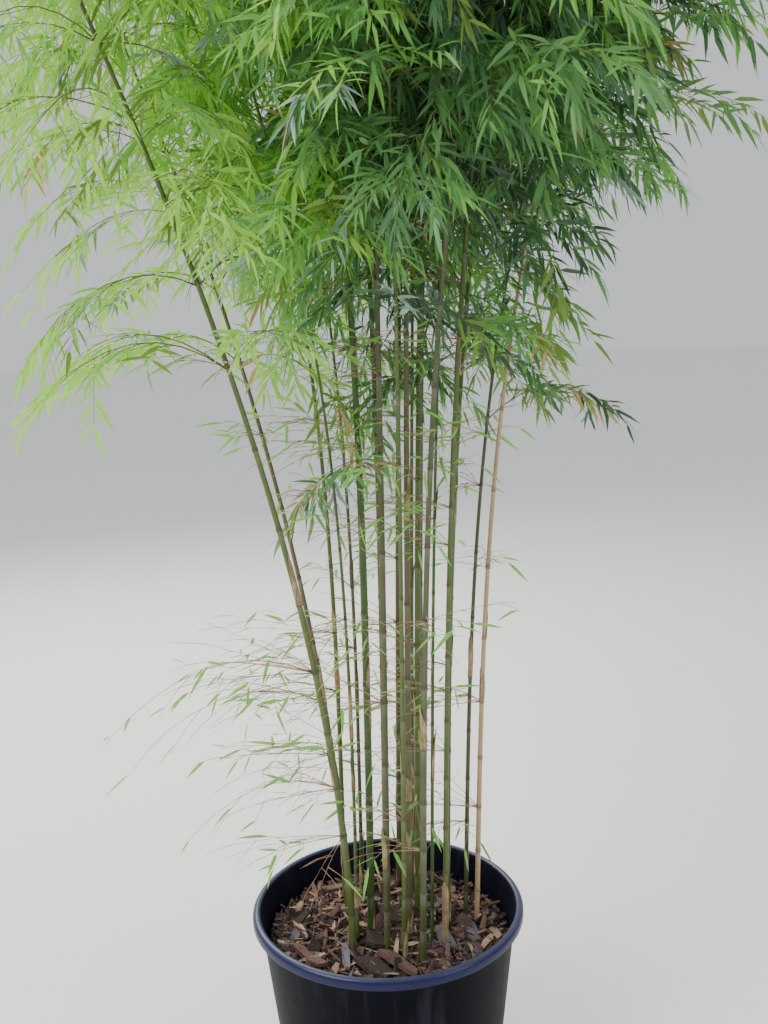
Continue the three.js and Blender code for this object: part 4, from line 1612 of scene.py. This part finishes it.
# %% [markdown]
# ## Old sheaths
#
# Each joint once carried a papery sheath that wrapped the stem above it. On old culms a few still
# cling to the lower joints, tan and ragged. A flat sheet could be wrapped and thickened by
# modifiers, but a sheath is a simple curved slab: at each height its section is a closed loop, an
# outer arc and an inner arc back. The arc narrows towards the top, and the slab flares away from
# the stem there.

# %% The shape of a sheath, for all sheaths at once
SHEATH_RISE = np.linspace(0, 1, 8)
SHEATH_ARC = np.linspace(-1, 1, 9)
SHEATH_THICKNESS = 0.35
SHEATH_LENGTHS = (45, 110)
WIDER_THAN_STEM = 1.1
STANDS_OFF = 0.6
HALF_ANGLES = (1.2, 2.9)
NARROWING, NARROWING_POWER = 0.94, 2.4
WIDEST_FLARE = 3.5


def sheaths(k, joint):
    """Slabs (n) round culm k above its joint. The half angle falls from the foot to the tip by a
    power. The radius is a little more than the stem's, plus a flare that grows with the square."""
    up = SHEATH_RISE[None]
    k, joint = k[:, None], joint[:, None]
    length = between(*SHEATH_LENGTHS, chance(k, joint, 181))
    share = joint_share(joint) + (1 + length * up) / culm_tall[k]
    narrowed = 1 - NARROWING * up**NARROWING_POWER
    half_angle = between(*HALF_ANGLES, chance(k, joint, 182)) * narrowed
    flare = WIDEST_FLARE * chance(k, joint, 183) ** 2
    outer = stem_radius(k, share) * WIDER_THAN_STEM + STANDS_OFF + flare * up**2
    bearing = FULL_TURN * chance(k, joint, 184)
    arc_angle = bearing[..., None] + half_angle[..., None] * SHEATH_ARC
    angle = np.concatenate([arc_angle, arc_angle[..., ::-1]], -1)
    inner_side = np.arange(angle.shape[-1]) >= len(SHEATH_ARC)
    radius = outer[..., None] - SHEATH_THICKNESS * inner_side
    points = culm_point(k, share)[:, :, None] + level_way(angle) * radius[..., None]
    rows, columns = len(SHEATH_RISE), angle.shape[-1]
    i = np.arange(len(SHEATH_ARC) - 1)
    low_end = np.stack([i + 1, i, columns - 1 - i, columns - 2 - i], -1)
    high_end = low_end[:, ::-1] + (rows - 1) * columns
    faces = np.concatenate([grid_faces(rows, columns, True), low_end, high_end])
    return points.reshape(-1, 3), [repeated(faces, len(k), rows * columns)]


print("points of a sheath:", len(SHEATH_RISE) * 2 * len(SHEATH_ARC))

# %% Papery finish
def papery(name, pale, dark):
    """Dry sheath: long streaks between two tans, and fine ribs as relief."""
    recipe = Finish(name)
    streak = recipe.noise(recipe.place(420, 420, 24), 1.0, 4.0)
    blotch = recipe.noise(recipe.place(), 46.0, 3.0)
    colour = recipe.mix(recipe.step(streak * 0.6 + blotch * 0.4, 0.36, 0.64), pale, dark)
    ribs = recipe.bump(streak, 0.0004)
    return recipe.end({"Base Color": colour, "Roughness": 0.68 + blotch * 0.2, "Normal": ribs})


sheath_finish = papery("papery_sheath", tint(186, 162, 124), tint(122, 98, 70))
print("nodes in the sheath's finish:", len(sheath_finish.node_tree.nodes))

# %% Make the sheaths that still cling
SHEATH_JOINTS = np.arange(0, 10)
SHEATH_CHANCE = 0.3
FEWER_UPWARDS = 0.06
sheath_k, sheath_joint = [g.ravel() for g in np.meshgrid(culm_k, SHEATH_JOINTS, indexing="ij")]
likely = SHEATH_CHANCE * (1 - FEWER_UPWARDS * sheath_joint)
clinging = chance(sheath_k, sheath_joint, 180) < likely
sheath_shape = sheaths(sheath_k[clinging], sheath_joint[clinging])
put_piece("old_sheaths", *sheath_shape, sheath_finish, "thin_twig")

# %% [markdown]
# ## Litter on the mulch
#
# The plant drops dry leaves and bits of twig, and they lie on the bark. They could be dropped by a
# simulation, but so few of them show that places by chance are enough. The leaves are the same
# lance shape as the living ones, thrown flat on the fill and turned to straw and grey.

# %% Dry leaves thrown on the mulch
LITTER_ROOM = fill_inside(TOP_OF_FILL) - 4
THROWN_WITHIN = fill_inside(TOP_OF_FILL) - 30
LITTER_LIFT = 13.0
LIFTS = (0.6, 1.2)
LITTER_SLOPE = 0.5
LITTER_LEAF_LENGTHS = (34, 74)
LITTER_LEAF_ROLL = 1.6
LITTER_CURL = 0.12


def thrown(n, seed):
    """Places even over the fill, and headings that are nearly level."""
    x, y = even_places(n, THROWN_WITHIN, seed)
    lift = LITTER_LIFT * between(*LIFTS, chance(n, 4, seed))
    heading = level_way(FULL_TURN * chance(n, 3, seed))
    heading[:, 2] = LITTER_SLOPE * (chance(n, 5, seed) - 0.5)
    return np.stack([x, y, fill_top(x, y) + lift], -1), unit(heading)


def litter_leaves(count, seed):
    """Dry leaves as a table for leaf_points."""
    n = np.arange(count)
    place, heading = thrown(n, seed)
    table = {
        "root": place,
        "out": heading,
        "length": between(*LITTER_LEAF_LENGTHS, chance(n, 6, seed)),
        "roll": LITTER_LEAF_ROLL * (chance(n, 7, seed) - 0.5),
        "own": chance(n, 8, seed),
    }
    return kept_in_pot(leaf_points(table, SLIMNESS, LITTER_CURL), LITTER_ROOM)


print("litter is thrown within a radius of", round(THROWN_WITHIN, 1))

# %% Bits of twig thrown on the mulch
LITTER_TWIG_LENGTHS = (14, 80)
LITTER_TWIG_RADII = (0.5, 1.3)
LITTER_TWIG_SIDES = 5


def litter_twigs(count, seed):
    """Short straight tubes lying on the mulch."""
    n = np.arange(count)
    place, heading = thrown(n, seed)
    size = between(*LITTER_TWIG_LENGTHS, chance(n, 6, seed) ** 2)
    gone = size[:, None] * TWIGLET_STATIONS
    lines = kept_in_pot(place[:, None] + heading[:, None] * gone[..., None], LITTER_ROOM)
    radii = between(*LITTER_TWIG_RADII, chance(n, 7, seed))[:, None]
    radii = np.repeat(radii, len(TWIGLET_STATIONS), 1)
    return tubes(lines, radii, LITTER_TWIG_SIDES, np.cross(heading, UP))


print("points of ten bits of twig:", len(litter_twigs(10, 0)[0]))

# %% Make the litter
LITTER_COUNT = 90
LITTER_SEED = 190
LITTER_FINISHES = {
    "straw": papery("dry_leaf_straw", tint(180, 156, 128), tint(142, 114, 88)),
    "grey": papery("dry_leaf_grey", tint(146, 134, 122), tint(104, 90, 80)),
}
for number, (tone, finish) in enumerate(LITTER_FINISHES.items()):
    shapes = litter_leaves(LITTER_COUNT, LITTER_SEED + number)
    put_leaves("litter_" + tone, shapes, finish, "compost")
fallen_twigs = litter_twigs(LITTER_COUNT, LITTER_SEED + len(LITTER_FINISHES))
put_piece("litter_twigs", *fallen_twigs, dry_bark, "compost")
